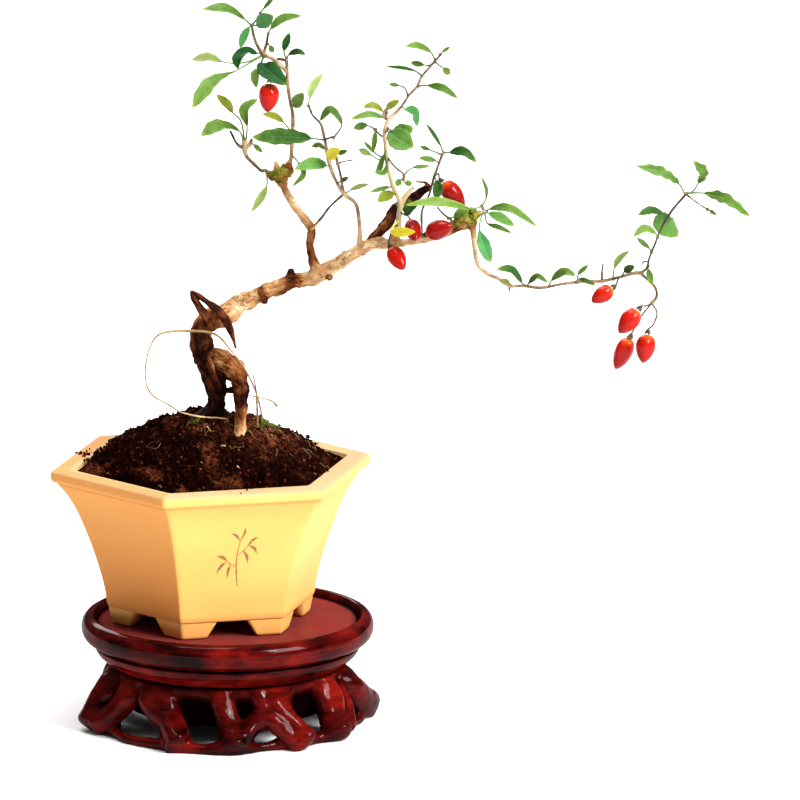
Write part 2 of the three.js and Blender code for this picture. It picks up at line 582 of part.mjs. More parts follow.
// Holes in the soil are the buried stretches of the same roots, made wider and longer by a gap.
function soilHoles() {
  const clearance = GAP + 0.1;
  return joined([
    ...[TRUNK_LINE.slice(0, 7), RIGHT_ROOT].map((rows) => grown(rows, STOUT, clearance)),
    grown(SIDE_ROOT, SLIM, clearance),
    ...[STRAND.slice(0, 3), STRAND.slice(-3), SPRIG.slice(-2)].map((rows) => grown(rows, FINE, clearance)),
  ]);
}

function soil() {
  const pocketSide = SCREEN_SIDE + 2 * GAP;
  const pocket = new THREE.BoxGeometry(pocketSide, pocketSide, 2 * (SCREEN_THICKNESS + 2 * GAP));
  pocket.rotateZ(THREE.MathUtils.degToRad(POT_TURN_DEGREES));
  pocket.translate(POT_CENTRE.x, POT_CENTRE.y, POT_BOTTOM + POT_FLOOR_TOP);
  return pieceOf('soil', soilSolid().subtract(soilHoles()).subtract(solidOf(pocket)), LOOKS.soil);
}

// Leafy stems. Each has the graft it grows from, its stems as rows of [u, v, depth, radius], its
// leaves and its fruit stalks.

const CROWN_LEFT = {
  name: 'leafy_twig_crown_left',
  grafts: [['crownLeft', [
    [262, 171, 11, 1], [254, 164, 10, 1], [247, 157, 9, 1], [245, 149, 9, 1.5], [245, 141, 9, 1.3],
  ]]],
  stems: [
    [[245, 149, 9, 1.2], [238, 145, 8, 0.9], [231, 132, 7, 0.7]],
    [[245, 149, 9, 1.3], [250, 145, 9, 1.2], [252, 140, 9, 0.8]],
  ],
  leaves: [
    { stalk: [[244, 142, 9]], rib: [[240, 132, 7], [221, 126, 2], [202, 137, -1]],
      wide: 7, roll: 35, wave: 0.8 },
    { stalk: [[246, 143, 9]], rib: [[247.5, 127, 10], [245, 109, 12], [258, 99.5, 14]],
      wide: 5, roll: 20 },
    { stalk: [[245, 142, 9], [241, 121, 13]], rib: [[233, 113, 15], [227, 104, 18], [216.5, 94.5, 20]],
      wide: 4.6, roll: 20, small: true },
    { stalk: [[251, 143, 9]], rib: [[254, 145, 8], [263, 153, 5]], wide: 2.6, small: true },
    { stalk: [[267, 173, 11.8]], rib: [[267, 186, 9], [262, 197, 7], [252, 212, 6]],
      wide: 4, roll: 15, small: true },
  ],
};

const CROWN_TOP = {
  name: 'leafy_stem_crown_top',
  grafts: [['crownTop', [
    [292, 148, 12, 1.2], [293, 130, 11, 1.1], [293, 115, 10, 1], [290, 99, 9.5, 1], [288, 82, 9, 1],
    [287, 60, 9, 1.1],
  ]]],
  stems: [
    [
      [288, 74, 9, 1], [282, 67, 8, 1.2], [273, 60, 7, 1.1], [264, 55, 6, 1.1], [257, 45, 5, 0.9],
      [252, 26, 4, 0.8],
    ],
    [[264, 55, 6, 1], [267, 45, 6, 0.8], [269, 34, 6, 0.7]],
    [[252, 28, 4, 0.7], [258, 20, 4, 0.5], [262, 14, 4, 0.5]],
    [[287, 62, 9, 0.9], [280, 60, 10, 0.9], [275, 62, 12, 0.8]],
  ],
  leaves: [
    { stalk: [[252, 27, 4]], rib: [[246, 21.5, 3], [228, 10.5, 0], [204, 11.5, -4]],
      wide: 4.8, roll: 25, widestAt: 0.55 },
    { stalk: [[261, 15, 4]], rib: [[264, 11, 4], [270, 4, 3], [276, -3, 2]], wide: 2.2, small: true },
    { stalk: [[253, 27, 4]], rib: [[257, 27, 2], [266, 22, -2], [276, 19, -6]],
      wide: 5.6, roll: 10, fold: 6 },
    { stalk: [[269, 35, 6]], rib: [[271, 31, 6], [283, 20, 7], [301.5, 17, 8]],
      wide: 4.4, roll: 15, small: true },
    { stalk: [[252, 27, 4]], rib: [[250, 29, 2], [245, 38, 0], [241, 50, -1]],
      wide: 3.4, roll: 15, small: true },
    { stalk: [[262, 54, 6]], rib: [[258, 54.5, 5], [246, 53, 1], [239, 61, -2], [239, 71, -3]],
      wide: 5.4, roll: 35, fold: 20 },
    { stalk: [[262, 57, 6], [250, 62, 12], [237, 64, 16]],
      rib: [[222, 62, 19], [208, 57, 22], [192, 60, 24]],
      wide: 4.6, roll: 20, small: true },
    { stalk: [[263, 57, 6], [248, 66, 0]], rib: [[236, 73, -4], [214, 83, -9], [194, 109.5, -14]],
      wide: 6.6, roll: 15, wave: 0.8, steps: 5 },
    { stalk: [[287, 61, 9]], rib: [[284.5, 52, 9], [290, 34, 10]], wide: 3.6, small: true },
    { stalk: [[287, 60, 9]], rib: [[289, 56, 9], [298, 53, 6], [306, 56, 4]],
      wide: 3.2, roll: 20, small: true },
    { stalk: [[268, 45, 6]], rib: [[270, 47, 8], [274, 53, 11]], wide: 3, small: true },
    { stalk: [[266, 57, 6]], rib: [[264, 64, 2], [271, 72, -3], [288, 87, -8]],
      wide: 9, roll: 20, steps: 5 },
    { stalk: [[264, 57, 6]], rib: [[261, 69, 5], [256, 76, 4], [257, 87, 4]],
      wide: 3.4, roll: 20, small: true },
    { stalk: [[291, 106, 10]], rib: [[293, 106, 9], [299, 101, 7], [304, 94, 5]],
      wide: 4.6, roll: 10, small: true },
    { stalk: [[293, 134, 11], [289, 129, 8]], rib: [[284, 123, 6], [275, 117, 3], [263, 115, 0]],
      wide: 3.4, roll: 10, small: true },
    { stalk: [[291.5, 155, 12]], rib: [[298, 162, 9], [304, 174, 6], [293, 187, 3]],
      wide: 3, roll: 20, small: true },
  ],
  fruit: [{ stalk: [[288, 84, 9], [279, 78, 2]], neck: [270.5, 84.5, -2], tip: [268, 113.5, -4] }],
};

const MIDDLE = {
  name: 'leafy_stem_middle',
  grafts: [
    ['middle', [
      [359, 218, 1, 1.1], [356, 204, 0, 1], [345, 195, 0, 1.3], [337, 183, -1, 0.9],
      [330, 165, -2, 1.2], [325, 139, -2, 0.9],
    ]],
    ['middleBrace', [[330, 207, 5, 0.7], [343.6, 195, 0, 0.9]]],
  ],
  stems: [
    [[344, 194, 0, 0.9], [339, 168, -3, 0.8], [333, 150, -3, 1], [329, 156, -2.5, 1]],
    [[325, 140, -2, 0.9], [321, 125, -2, 0.8], [313, 116, -1, 0.7], [309, 106, 0, 0.7]],
    [[325, 141, -2, 0.7], [330, 139, -4, 0.6], [335, 138, -5, 0.8]],
    [[337, 165, -3, 0.6], [344, 162.5, -4, 0.5], [353, 161, -5, 0.3]],
  ],
  leaves: [
    { stalk: [[328, 153, -2]], rib: [[325, 150, -1], [319, 146, 2], [312, 147, 4]],
      wide: 3, roll: 20, small: true },
    { stalk: [[333, 152, -3]], rib: [[337, 154, -4], [348, 152, -7]], wide: 2.6, small: true },
    { stalk: [[330, 162, -2]], rib: [[329, 160, -5], [330, 154, -9], [327, 147, -12]],
      wide: 3.6, roll: 10, small: true },
    { stalk: [[331, 168, -2]], rib: [[327, 166.5, -3], [314, 164.5, -7], [295, 170.5, -11]],
      wide: 6, roll: 15 },
    { stalk: [[338, 184, -1]], rib: [[341, 182, -1], [349, 178, -3]], wide: 2.4, small: true },
    { stalk: [[346, 194, 0]], rib: [[350, 191, -1], [360, 187, -2], [369, 185, -3]],
      wide: 2.6, roll: 15, small: true },
    { stalk: [[309, 107, 0]], rib: [[310, 100, 0], [314, 87, 2], [323, 75, 4]],
      wide: 4.2, roll: 10, small: true },
    { stalk: [[325, 141, -2]], rib: [[312, 137.5, -4], [284, 134, -5], [253, 136, -6]],
      wide: 8.2, roll: 15, wave: 0.9, steps: 5 },
    { stalk: [[334, 139, -5]], rib: [[342, 126, -5], [331, 111, -3], [320, 122, -1]],
      wide: 4.4, roll: 25, small: true },
  ],
};

const RIGHT = {
  name: 'leafy_stem_right',
  grafts: [['right', [
    [399, 219, -6, 1.5], [400.5, 203, -7, 1.6], [394, 190, -8, 1.2], [387.6, 166, -8.5, 1.1],
    [386, 151, -9, 1.1], [385, 131, -9, 1.1], [389.5, 120, -9, 1.2], [396.5, 114, -9, 0.9],
    [403, 106, -9, 0.8], [409, 97, -9, 0.8], [417, 88.5, -9, 0.8], [422, 78, -9, 0.8],
    [429, 70, -9, 0.8], [436, 62, -9, 0.8], [441, 56.5, -9, 0.7],
  ]]],
  stems: [
    [[400, 206, -7, 1.4], [406, 197, -7, 1.4], [413, 189, -7, 1.1]],
    [[387, 158, -8.5, 0.8], [396, 169, -12, 0.6], [404, 176, -14, 0.6], [403.5, 182, -14, 0.5]],
    [[386, 140, -9, 0.8], [380, 136, -8, 0.6], [374, 130, -7, 0.6]],
    [[388, 122, -9, 0.9], [384, 117, -8, 1.1], [386, 111, -8, 0.8]],
  ],
  leaves: [
    { stalk: [[435, 62, -9]], rib: [[431, 55, -9], [418, 48, -12], [405.5, 49, -15]],
      wide: 3.6, roll: 15, small: true },
    { stalk: [[440, 57, -9]], rib: [[442, 54.5, -9], [450, 49, -9]], wide: 1.8, small: true },
    { stalk: [[430, 68, -9]], rib: [[424, 67, -8], [411, 64.5, -5]], wide: 3, small: true },
    { stalk: [[422, 78, -9]], rib: [[416, 73.5, -10], [402, 70, -13], [386, 69, -16]],
      wide: 2.4, small: true },
    { stalk: [[408, 97, -9], [405, 90, -9]], rib: [[399, 87.5, -9], [389, 86, -10]],
      wide: 2.2, small: true },
    { stalk: [[418, 88, -9]], rib: [[427, 87.5, -10], [442, 90, -13], [457.5, 100.5, -16]],
      wide: 4, roll: 15, small: true },
    { stalk: [[435, 64, -9], [440, 68, -8]], rib: [[443, 70, -8], [450, 76, -6]],
      wide: 3.6, small: true },
    { stalk: [[387, 114, -8]], rib: [[387, 112, -6], [392, 106, -3], [399, 101.5, 0]],
      wide: 4, roll: 25, small: true },
    { stalk: [[386, 117, -8]], rib: [[383, 113, -8], [374, 107, -9], [363.5, 109, -10]],
      wide: 3.6, roll: 20, small: true },
    { stalk: [[386, 120, -9]], rib: [[383, 119, -10], [370, 116, -12], [350.5, 121, -14]],
      wide: 3.4, roll: 10, small: true },
    { stalk: [[402, 108, -9]], rib: [[405, 111, -7], [414, 113, -3], [417.5, 127, 2]],
      wide: 4.6, roll: 30, small: true },
    { stalk: [[386, 133, -9]], rib: [[389, 133, -12], [399, 141, -16], [412, 146, -19]],
      wide: 9.4, roll: 10, widestAt: 0.55, steps: 5 },
    { stalk: [[388, 130, -9]], rib: [[393, 132, -5], [403, 131, 1], [413, 128, 7]],
      wide: 6.6, roll: -15 },
    { stalk: [[376, 131, -7]], rib: [[368, 127, -7], [361, 127.5, -7], [354, 130, -8]],
      wide: 4, small: true },
    { stalk: [[375, 131, -7]], rib: [[375.5, 133, -8], [373.5, 153, -10]], wide: 2.8, small: true },
    { stalk: [[386.5, 158, -8.7], [381, 158, -10]], rib: [[375, 154, -12], [364, 143, -14]],
      wide: 2, small: true },
    { stalk: [[387, 160, -8.7], [380, 161, -7]], rib: [[371, 156, -4], [359, 150, -1]],
      wide: 3.4, roll: 10, small: true },
    { stalk: [[386, 152, -9]], rib: [[384, 156, -11], [380.5, 168, -13], [377, 176, -12]],
      wide: 3.4, roll: 25, small: true },
    { stalk: [[385, 156, -9]], rib: [[386.5, 166, -14], [384, 174, -17], [374, 173, -19]],
      wide: 3, roll: 20, small: true },
    { stalk: [[394, 189, -8]], rib: [[390, 188, -9], [370, 193, -12]], wide: 2.4, small: true },
    { stalk: [[396, 195, -8]], rib: [[394, 195, -11], [386, 197, -14], [378, 203, -17]],
      wide: 5.6, roll: 10 },
    { stalk: [[404, 177, -14], [408, 172, -13]], rib: [[413, 169, -12], [430, 167, -10]],
      wide: 2.2, small: true },
    { stalk: [[403.5, 180, -14]], rib: [[401, 181, -14], [396, 187, -15]], wide: 3.4, small: true },
    { stalk: [[403.5, 181, -14]], rib: [[405, 184, -14], [412, 184, -12]],
      wide: 3.4, roll: 20, small: true },
    { stalk: [[399, 221, -6]], rib: [[391, 231, -12], [401, 233, -18], [415, 233, -24]],
      wide: 4.2, roll: 10, small: true },
    { stalk: [[400, 212, -6.5]], rib: [[404, 215, -9], [409, 210, -11], [418, 205, -13]],
      wide: 5.4, roll: 15 },
  ],
  fruit: [
    { stalk: [[398.6, 224, -5.5], [391, 234, -9.5]], neck: [391, 249, -8], tip: [404, 270, -15] },
    { stalk: [[400, 214, -6.6], [407, 216, -7.5]], neck: [411, 223, -9], tip: [416, 241, -19] },
  ],
};

const RIGHT_TWIG = {
  name: 'leafy_twig_right',
  grafts: [['rightTwig', [
    [422, 212, -6, 0.7], [430, 193, -6, 0.7], [434, 178, -6, 0.8], [438, 167, -6, 0.7], [443, 153, -6, 1],
  ]]],
  stems: [],
  leaves: [
    { stalk: [[443, 154, -6]], rib: [[441, 148, -6], [434, 136, -7], [426, 125, -8]],
      wide: 2.2, roll: 10, small: true },
    { stalk: [[443, 154, -6]], rib: [[449, 153.5, -7], [463, 153, -10], [476, 163.5, -13]],
      wide: 5, roll: 20 },
    { stalk: [[442, 156, -6]], rib: [[430, 151, -5], [420, 147.5, -4]], wide: 2.2, small: true },
    { stalk: [[439, 164, -6]], rib: [[436, 162, -6], [428, 160, -7], [419, 159, -8]],
      wide: 3, small: true },
    { stalk: [[434, 178, -6]], rib: [[436, 181, -8], [438, 190, -9], [435, 200, -9]],
      wide: 5.4, roll: 10 },
  ],
  fruit: [
    { stalk: [[435, 177, -6], [438.5, 174.5, -4]], neck: [442.5, 183, -2], tip: [464, 208, -3] },
    { stalk: [[422, 222, -6], [422, 230, -10]], neck: [427, 235, -13], tip: [452, 226, -17] },
  ],
};

const CASCADE = {
  name: 'leafy_stem_cascade',
  grafts: [['cascade', [
    [475, 251, -12, 1.3], [478, 265, -12, 1.2], [487, 274, -11, 1.1], [498, 279, -9, 1], [509, 286, -6, 1],
    [524, 286, -3, 0.9], [540, 288, 0, 0.9], [560, 284.5, 3, 0.9], [580, 281.5, 5, 0.9], [602, 281, 6, 1],
    [620, 277, 6, 0.9], [634, 273, 5, 1.1], [642, 273, 4, 1.1],
  ]]],
  stems: [
    [[509, 286, -6, 0.7], [509, 291, -5.6, 0.5]],
    [[602, 280, 6, 0.8], [602, 271, 6, 0.7], [603, 264, 6, 0.5]],
    [
      [640, 273, 4, 0.9], [646, 269, 3, 0.8], [649, 258, 1, 0.7], [655, 243, -1, 0.7],
      [661, 228, -2, 0.7], [672, 210, -4, 0.7], [685, 195, -6, 0.8],
    ],
    [[640, 273, 4, 1], [648, 280, 5, 0.8], [655, 287, 6, 0.8], [656.5, 297, 7, 0.8], [652, 303, 7, 1.1]],
    [[648, 262, 2, 0.6], [643, 262, 0, 0.6], [641, 266, 0, 0.5]],
    [[685, 195, -6, 0.7], [698, 205, -9, 0.4], [714, 215, -12, 0.4]],
  ],
  leaves: [
    { stalk: [[524, 286, -3]], rib: [[522, 283, -4], [511, 270, -8], [496, 270, -12]],
      wide: 4.4, roll: 30, small: true },
    { stalk: [[510, 285.5, -6]], rib: [[509, 283, -8], [500, 280, -12]], wide: 2.6, small: true },
    { stalk: [[528, 286.5, -2]], rib: [[528, 284, -4], [537, 277, -8], [547, 283, -12]],
      wide: 3.6, roll: 30, small: true },
    { stalk: [[549, 286.5, 1.5]], rib: [[551, 281, 0], [564, 272, -4], [575, 276, -7]],
      wide: 4.4, roll: 20, small: true },
    { stalk: [[578, 282, 5]], rib: [[578, 275, 5], [588, 265, 6]], wide: 2.4, small: true },
    { stalk: [[576, 282.5, 4.7]], rib: [[579, 279, 2], [595, 285, -5]], wide: 2.6, small: true },
    { stalk: [[613, 279, 6]], rib: [[614, 269, 5], [619, 259, 4], [629, 251, 3]],
      wide: 3.2, roll: 10, small: true },
    { stalk: [[622, 276.5, 6]], rib: [[624, 272, 4], [634, 266, 0]], wide: 4, small: true },
    { stalk: [[648, 266, 3]], rib: [[648, 269, 3], [652, 286, 2]], wide: 3.2, small: true },
    { stalk: [[684, 195, -6]], rib: [[678, 185, -7], [662, 174, -9], [634.5, 167, -12]],
      wide: 5.2, roll: 20, wave: 1, steps: 7 },
    { stalk: [[685, 195, -6], [692, 192, -6]], rib: [[697, 184, -6], [702, 174, -7], [691.5, 162, -8]],
      wide: 5.2, roll: 20 },
    { stalk: [[686, 194, -6]], rib: [[702, 194, -8], [724, 200, -12], [748, 217.5, -16]],
      wide: 5.4, roll: 15, wave: 1, steps: 7 },
    { stalk: [[706, 210, -10.5]], rib: [[708, 211, -11], [715, 216, -12.5]], wide: 2, small: true },
    { stalk: [[668, 216, -3.3]], rib: [[666, 216, 0], [666, 227, 3], [682, 238, 7]],
      wide: 9.6, roll: 10, steps: 5 },
    { stalk: [[668, 216, -3.3]], rib: [[662, 214, -5], [650, 211, -8], [637, 216, -11]],
      wide: 4.4, roll: 25, small: true },
    { stalk: [[657, 238, -1.3]], rib: [[655, 234, -2], [644, 229, -4], [633, 237, -6]],
      wide: 4.4, roll: 25, small: true },
    { stalk: [[651, 253, 0.4]], rib: [[649, 249, -1], [642, 243, -4], [636, 238.5, -8]],
      wide: 2.6, small: true },
  ],
  fruit: [
    { stalk: [[619, 277.5, 6], [617, 282, 4]], neck: [612, 288, 2], tip: [591.5, 302, 0] },
    { stalk: [[652, 303, 7], [646, 306, 4]], neck: [638, 310, 2], tip: [619, 333, 0] },
    { stalk: [[652, 303, 7], [641, 317, 11]], neck: [630, 338, 11], tip: [616, 369, 12] },
    { stalk: [[652, 303, 7], [657, 313, 5], [653, 325, 4]], neck: [647.5, 334, 4], tip: [643, 363, 3] },
  ],
};

const NODE_SPRAY = {
  name: 'leafy_node_right',
  grafts: [['node', [[484, 213, -10, 1.1], [487, 212, -10, 0.8]]]],
  stems: [[[485, 213.5, -10.3, 0.9], [481, 206, -9, 0.7]]],
  leaves: [
    { stalk: [[481.5, 207, -9]], rib: [[485.5, 200, -8], [486, 190, -8], [480.7, 177, -8]],
      wide: 1.8, small: true },
    { stalk: [[485.6, 212.3, -10]], rib: [[489, 210, -11], [508, 209, -14], [536, 227, -18]],
      wide: 4.6, roll: 25, steps: 5, small: true },
    { stalk: [[485.2, 212.9, -9.8]], rib: [[488, 214, -8], [500, 218, -4], [514, 226, 1]],
      wide: 5, roll: 10 },
    { stalk: [[484.4, 213.4, -10]], rib: [[487, 224, -14], [498, 228, -18], [511, 234, -22]],
      wide: 2.6, small: true },
    { stalk: [[483.6, 213.2, -10.2], [481, 218, -13]],
      rib: [[479, 230, -16], [483, 245, -18], [490, 263, -19]],
      wide: 5.8, roll: 15 },
    { stalk: [[482.4, 208.6, -9.2], [479, 208, -12]],
      rib: [[471, 210, -15], [449, 204.5, -19], [431, 203, -21], [406, 206.5, -23]],
      wide: 4.8, roll: 15, steps: 5 },
  ],
};

const BRANCH_SPUR = {
  name: 'leafy_spur_crown',
  grafts: [['spur', [[446, 217, -10, 0.8], [442, 213.5, -10, 0.7], [437.5, 208.5, -10, 0.6]]]],
  stems: [],
  leaves: [
    { stalk: [[448, 219, -9.9]], rib: [[453, 218, -11], [461, 213.5, -12], [469, 212, -13]],
      wide: 4.6, roll: 20, small: true },
  ],
};

const LEAFY_STEMS = [CROWN_LEFT, CROWN_TOP, MIDDLE, RIGHT, RIGHT_TWIG, CASCADE, NODE_SPRAY, BRANCH_SPUR];

function leafyStem({ name, grafts, stems, leaves, fruit = [] }) {
  const main = grafts.map(([graft, rows]) => {
    const points = [...graftStart(graft), ...rows.map(place)];
    const first = GRAFTS[graft][2];
    return limb(points, [first, first, ...rows.map((row) => row[3])], THIN);
  });
  const parts = [
    ...main, ...stems.map((rows) => grown(rows, THIN)),
    ...leaves.map(leaf), ...fruit.map(fruitStalk),
  ];
  return pieceOf(name, joined(parts), LOOKS.foliage);
}

// Berries, each hung from the fruit stalk with the same neck and tip.
const BERRIES = [
  { name: 'berry_crown', ...CROWN_TOP.fruit[0], wide: 9.6 },
  { name: 'berry_under_branch', ...RIGHT.fruit[0], wide: 8.8 },
  { name: 'berry_heart_left', ...RIGHT.fruit[1], wide: 8.4 },
  { name: 'berry_heart_top', ...RIGHT_TWIG.fruit[0], wide: 9.8 },
  { name: 'berry_heart_front', ...RIGHT_TWIG.fruit[1], wide: 10 },
  { name: 'berry_cascade', ...CASCADE.fruit[0], wide: 8.4 },
  { name: 'berry_cluster_upper', ...CASCADE.fruit[1], wide: 9.8 },
  { name: 'berry_cluster_left', ...CASCADE.fruit[2], wide: 9.2 },
  { name: 'berry_cluster_right', ...CASCADE.fruit[3], wide: 9.8 },
];

// Assembly.

const potGroup = new THREE.Group();
potGroup.add(pot(), drainScreen());
potGroup.position.set(POT_CENTRE.x, POT_CENTRE.y, POT_BOTTOM);
potGroup.rotation.z = THREE.MathUtils.degToRad(POT_TURN_DEGREES);

const bonsai = new THREE.Group();
bonsai.add(standPlate(), carvedRoots(), potGroup, soil());
bonsai.add(pieceOf('trunk', woodSolid(), LOOKS.bark));
bonsai.add(pieceOf('root_strand', grown(STRAND, FINE), LOOKS.straw));
bonsai.add(pieceOf('dry_sprig', grown(SPRIG, THIN).add(grown(SPRIG_TWIG, THIN)), LOOKS.straw));
for (const stem of LEAFY_STEMS) bonsai.add(leafyStem(stem));
for (const fruit of BERRIES) bonsai.add(berry(fruit));

// The origin is the middle of the bottom face of the whole part's box.
bonsai.updateMatrixWorld(true);
const extent = new THREE.Box3().setFromObject(bonsai, true);
const centre = extent.getCenter(new THREE.Vector3());
bonsai.position.set(-centre.x, -centre.y, -extent.min.z);

export default bonsai;
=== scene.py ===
# %% [markdown]
# # Goji berry bonsai in a six-sided pot on a carved stand
#
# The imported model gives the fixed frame: where the stand, the pot, the trunk and every leafy stem
# are, at real size. This script gives them their looks. Almost every piece is a loft: closed rings
# of points, one after another, worked out with numpy and stitched into one skin. A tube, a turned
# plate, a leaf blade and a berry differ only in the rings they are given.

# %% Frame and units
import math
from dataclasses import dataclass

import bmesh
import bpy
import numpy as np
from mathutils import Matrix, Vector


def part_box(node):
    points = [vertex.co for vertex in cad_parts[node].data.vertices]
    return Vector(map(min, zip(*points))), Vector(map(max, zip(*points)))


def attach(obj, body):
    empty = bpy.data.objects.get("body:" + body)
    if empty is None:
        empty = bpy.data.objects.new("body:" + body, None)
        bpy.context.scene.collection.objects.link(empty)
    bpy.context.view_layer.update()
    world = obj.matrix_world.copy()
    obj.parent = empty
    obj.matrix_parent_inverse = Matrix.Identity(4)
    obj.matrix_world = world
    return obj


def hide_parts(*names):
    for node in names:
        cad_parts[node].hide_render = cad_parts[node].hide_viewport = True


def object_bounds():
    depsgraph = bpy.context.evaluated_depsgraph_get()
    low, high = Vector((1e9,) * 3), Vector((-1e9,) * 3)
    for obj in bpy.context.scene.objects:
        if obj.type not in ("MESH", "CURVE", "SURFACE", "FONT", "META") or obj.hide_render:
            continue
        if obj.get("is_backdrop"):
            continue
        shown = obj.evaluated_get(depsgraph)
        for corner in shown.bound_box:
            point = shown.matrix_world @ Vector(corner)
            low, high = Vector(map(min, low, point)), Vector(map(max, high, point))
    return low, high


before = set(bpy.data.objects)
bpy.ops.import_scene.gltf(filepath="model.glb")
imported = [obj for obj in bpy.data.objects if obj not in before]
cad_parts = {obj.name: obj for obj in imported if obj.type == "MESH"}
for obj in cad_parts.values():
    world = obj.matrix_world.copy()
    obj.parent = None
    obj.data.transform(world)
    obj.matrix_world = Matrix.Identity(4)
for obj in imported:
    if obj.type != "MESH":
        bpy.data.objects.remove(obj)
cad_bounds = [list(corner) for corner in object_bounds()]
MM = 0.001
BODY = "root"
print("solids in the frame:", len(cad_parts))

# %% [markdown]
# The plant was laid out on a front drawing, seen from slightly above. A place on it is
# (u, v, depth): u to the right, v down, in drawing units, and depth behind the middle of the
# stand. Turning a place into metres takes only the drawing's scale and the lift of the eye.

# %% The front drawing
UNITS_PER_MM = 2.01
# Millimetres of real depth for each step of depth on the drawing.
DEPTH_SPREAD = 1.5
EYE_LIFT = math.radians(13)
# Where the stand's axis and the floor under it come on the drawing.
STAND_AXIS_U = 227.1
FLOOR_V = 723.1


def middle_of(node):
    """The middle of a solid's box, as an array in metres."""
    low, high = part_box(node)
    return (np.array(low) + np.array(high)) / 2


STAND_AXIS = middle_of("stand_plate")[:2]
POT_AXIS = middle_of("pot")[:2]
POT_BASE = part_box("pot")[0].z
TOWARDS_EYE = np.array([0, -math.cos(EYE_LIFT), math.sin(EYE_LIFT)])


def place(rows):
    """Rows of (u, v, depth, ...) as points in metres: right is u over the scale, back is depth
    times its spread, and height is v over the scale, raised for the lift of the eye."""
    u, v, depth = np.asarray(rows, float).T[:3]
    back = depth * DEPTH_SPREAD
    height = (FLOOR_V - v) / (UNITS_PER_MM * math.cos(EYE_LIFT)) - back * math.tan(EYE_LIFT)
    right = (u - STAND_AXIS_U) / UNITS_PER_MM
    return np.stack([right * MM + STAND_AXIS[0], back * MM + STAND_AXIS[1], height * MM], axis=-1)


def last(rows):
    """The last value of each row, such as a radius."""
    return np.array([row[-1] for row in rows], float)


print("stand axis in mm:", STAND_AXIS / MM)

# %% [markdown]
# The camera stands in front and 13 degrees up, far back with a long lens, so that the six-sided
# pot shows hardly any perspective, as in a product photograph. The floor is a large pale sheet.
# Most of the light is a big soft panel from the right. A small one there gives the sharp glints,
# one overhead keeps the shadow on the floor pale, and a weak one behind lifts the edges.

# %% Floor, camera and light
VIEW_DISTANCE = 8.0
VIEW_TARGET = np.array([0.0005, -0.0045, 0.165])
LENS_MM = 723.6
FLOOR_SIDE = 30.0


def make_camera():
    """The camera looks at the target along the eye's lift, with its sensor 36 mm wide."""
    camera = bpy.data.objects.new("camera", bpy.data.cameras.new("camera"))
    camera.location = VIEW_TARGET + TOWARDS_EYE * VIEW_DISTANCE
    camera.rotation_euler = (math.pi / 2 - EYE_LIFT, 0, 0)
    camera.data.lens = LENS_MM
    bpy.context.scene.collection.objects.link(camera)
    bpy.context.scene.camera = camera


def make_panel(name, location, side, watts):
    """A square panel of light that faces the middle of the object."""
    light = bpy.data.lights.new(name, "AREA")
    light.size = side
    light.energy = watts
    panel = bpy.data.objects.new(name, light)
    panel.location = location
    away = np.array(location) - VIEW_TARGET
    tilt = math.acos(away[2] / np.linalg.norm(away))
    panel.rotation_euler = (tilt, 0, math.atan2(away[0], -away[1]))
    bpy.context.scene.collection.objects.link(panel)


def make_world(low, high):
    """A white sky that grows from low at the horizon to high overhead, as under a lit ceiling."""
    world = bpy.data.worlds.new("studio")
    world.use_nodes = True
    nodes, link = world.node_tree.nodes, world.node_tree.links.new
    direction = nodes.new("ShaderNodeTexCoord").outputs["Generated"]
    split = nodes.new("ShaderNodeSeparateXYZ")
    rise = nodes.new("ShaderNodeMapRange")
    rise.inputs["To Min"].default_value = low
    rise.inputs["To Max"].default_value = high
    sky = nodes["Background"]
    sky.inputs["Color"].default_value = (1, 1, 1, 1)
    link(direction, split.inputs[0])
    link(split.outputs["Z"], rise.inputs["Value"])
    link(rise.outputs[0], sky.inputs["Strength"])
    bpy.context.scene.world = world


make_camera()
make_world(0.1, 0.45)
make_panel("key_light", (11, -8.4, 10), 8.0, 5600)
make_panel("top_light", (-2, 0.5, 14), 6.0, 1500)
make_panel("spark_light", (7, -8, 9), 1.2, 500)
make_panel("back_light", (-4, 10, 7), 5.0, 800)
bpy.context.scene.view_settings.view_transform = "Standard"

# %% [markdown]
# Shader maths reads best as plain sums. A Wire is one output socket; adding or multiplying wires
# adds Math nodes. A Shader makes every other node through one method that takes the node's type,
# the values or wires of its sockets, and its settings.

# %% Shader helpers
class Wire:
    """An output socket in a material, with the operators that the materials use."""

    def __init__(self, shader, socket):
        self.shader = shader
        self.socket = socket

    def math(self, operation, first, second):
        """A Math node for the two values."""
        return self.shader.node("ShaderNodeMath", {0: first, 1: second}, operation=operation)

    def __add__(self, other):
        return self.math("ADD", self, other)

    __radd__ = __add__

    def __sub__(self, other):
        return self.math("SUBTRACT", self, other)

    def __rsub__(self, other):
        return self.math("SUBTRACT", other, self)

    def __mul__(self, other):
        return self.math("MULTIPLY", self, other)

    __rmul__ = __mul__

    def __abs__(self):
        return self.math("ABSOLUTE", self, 0)


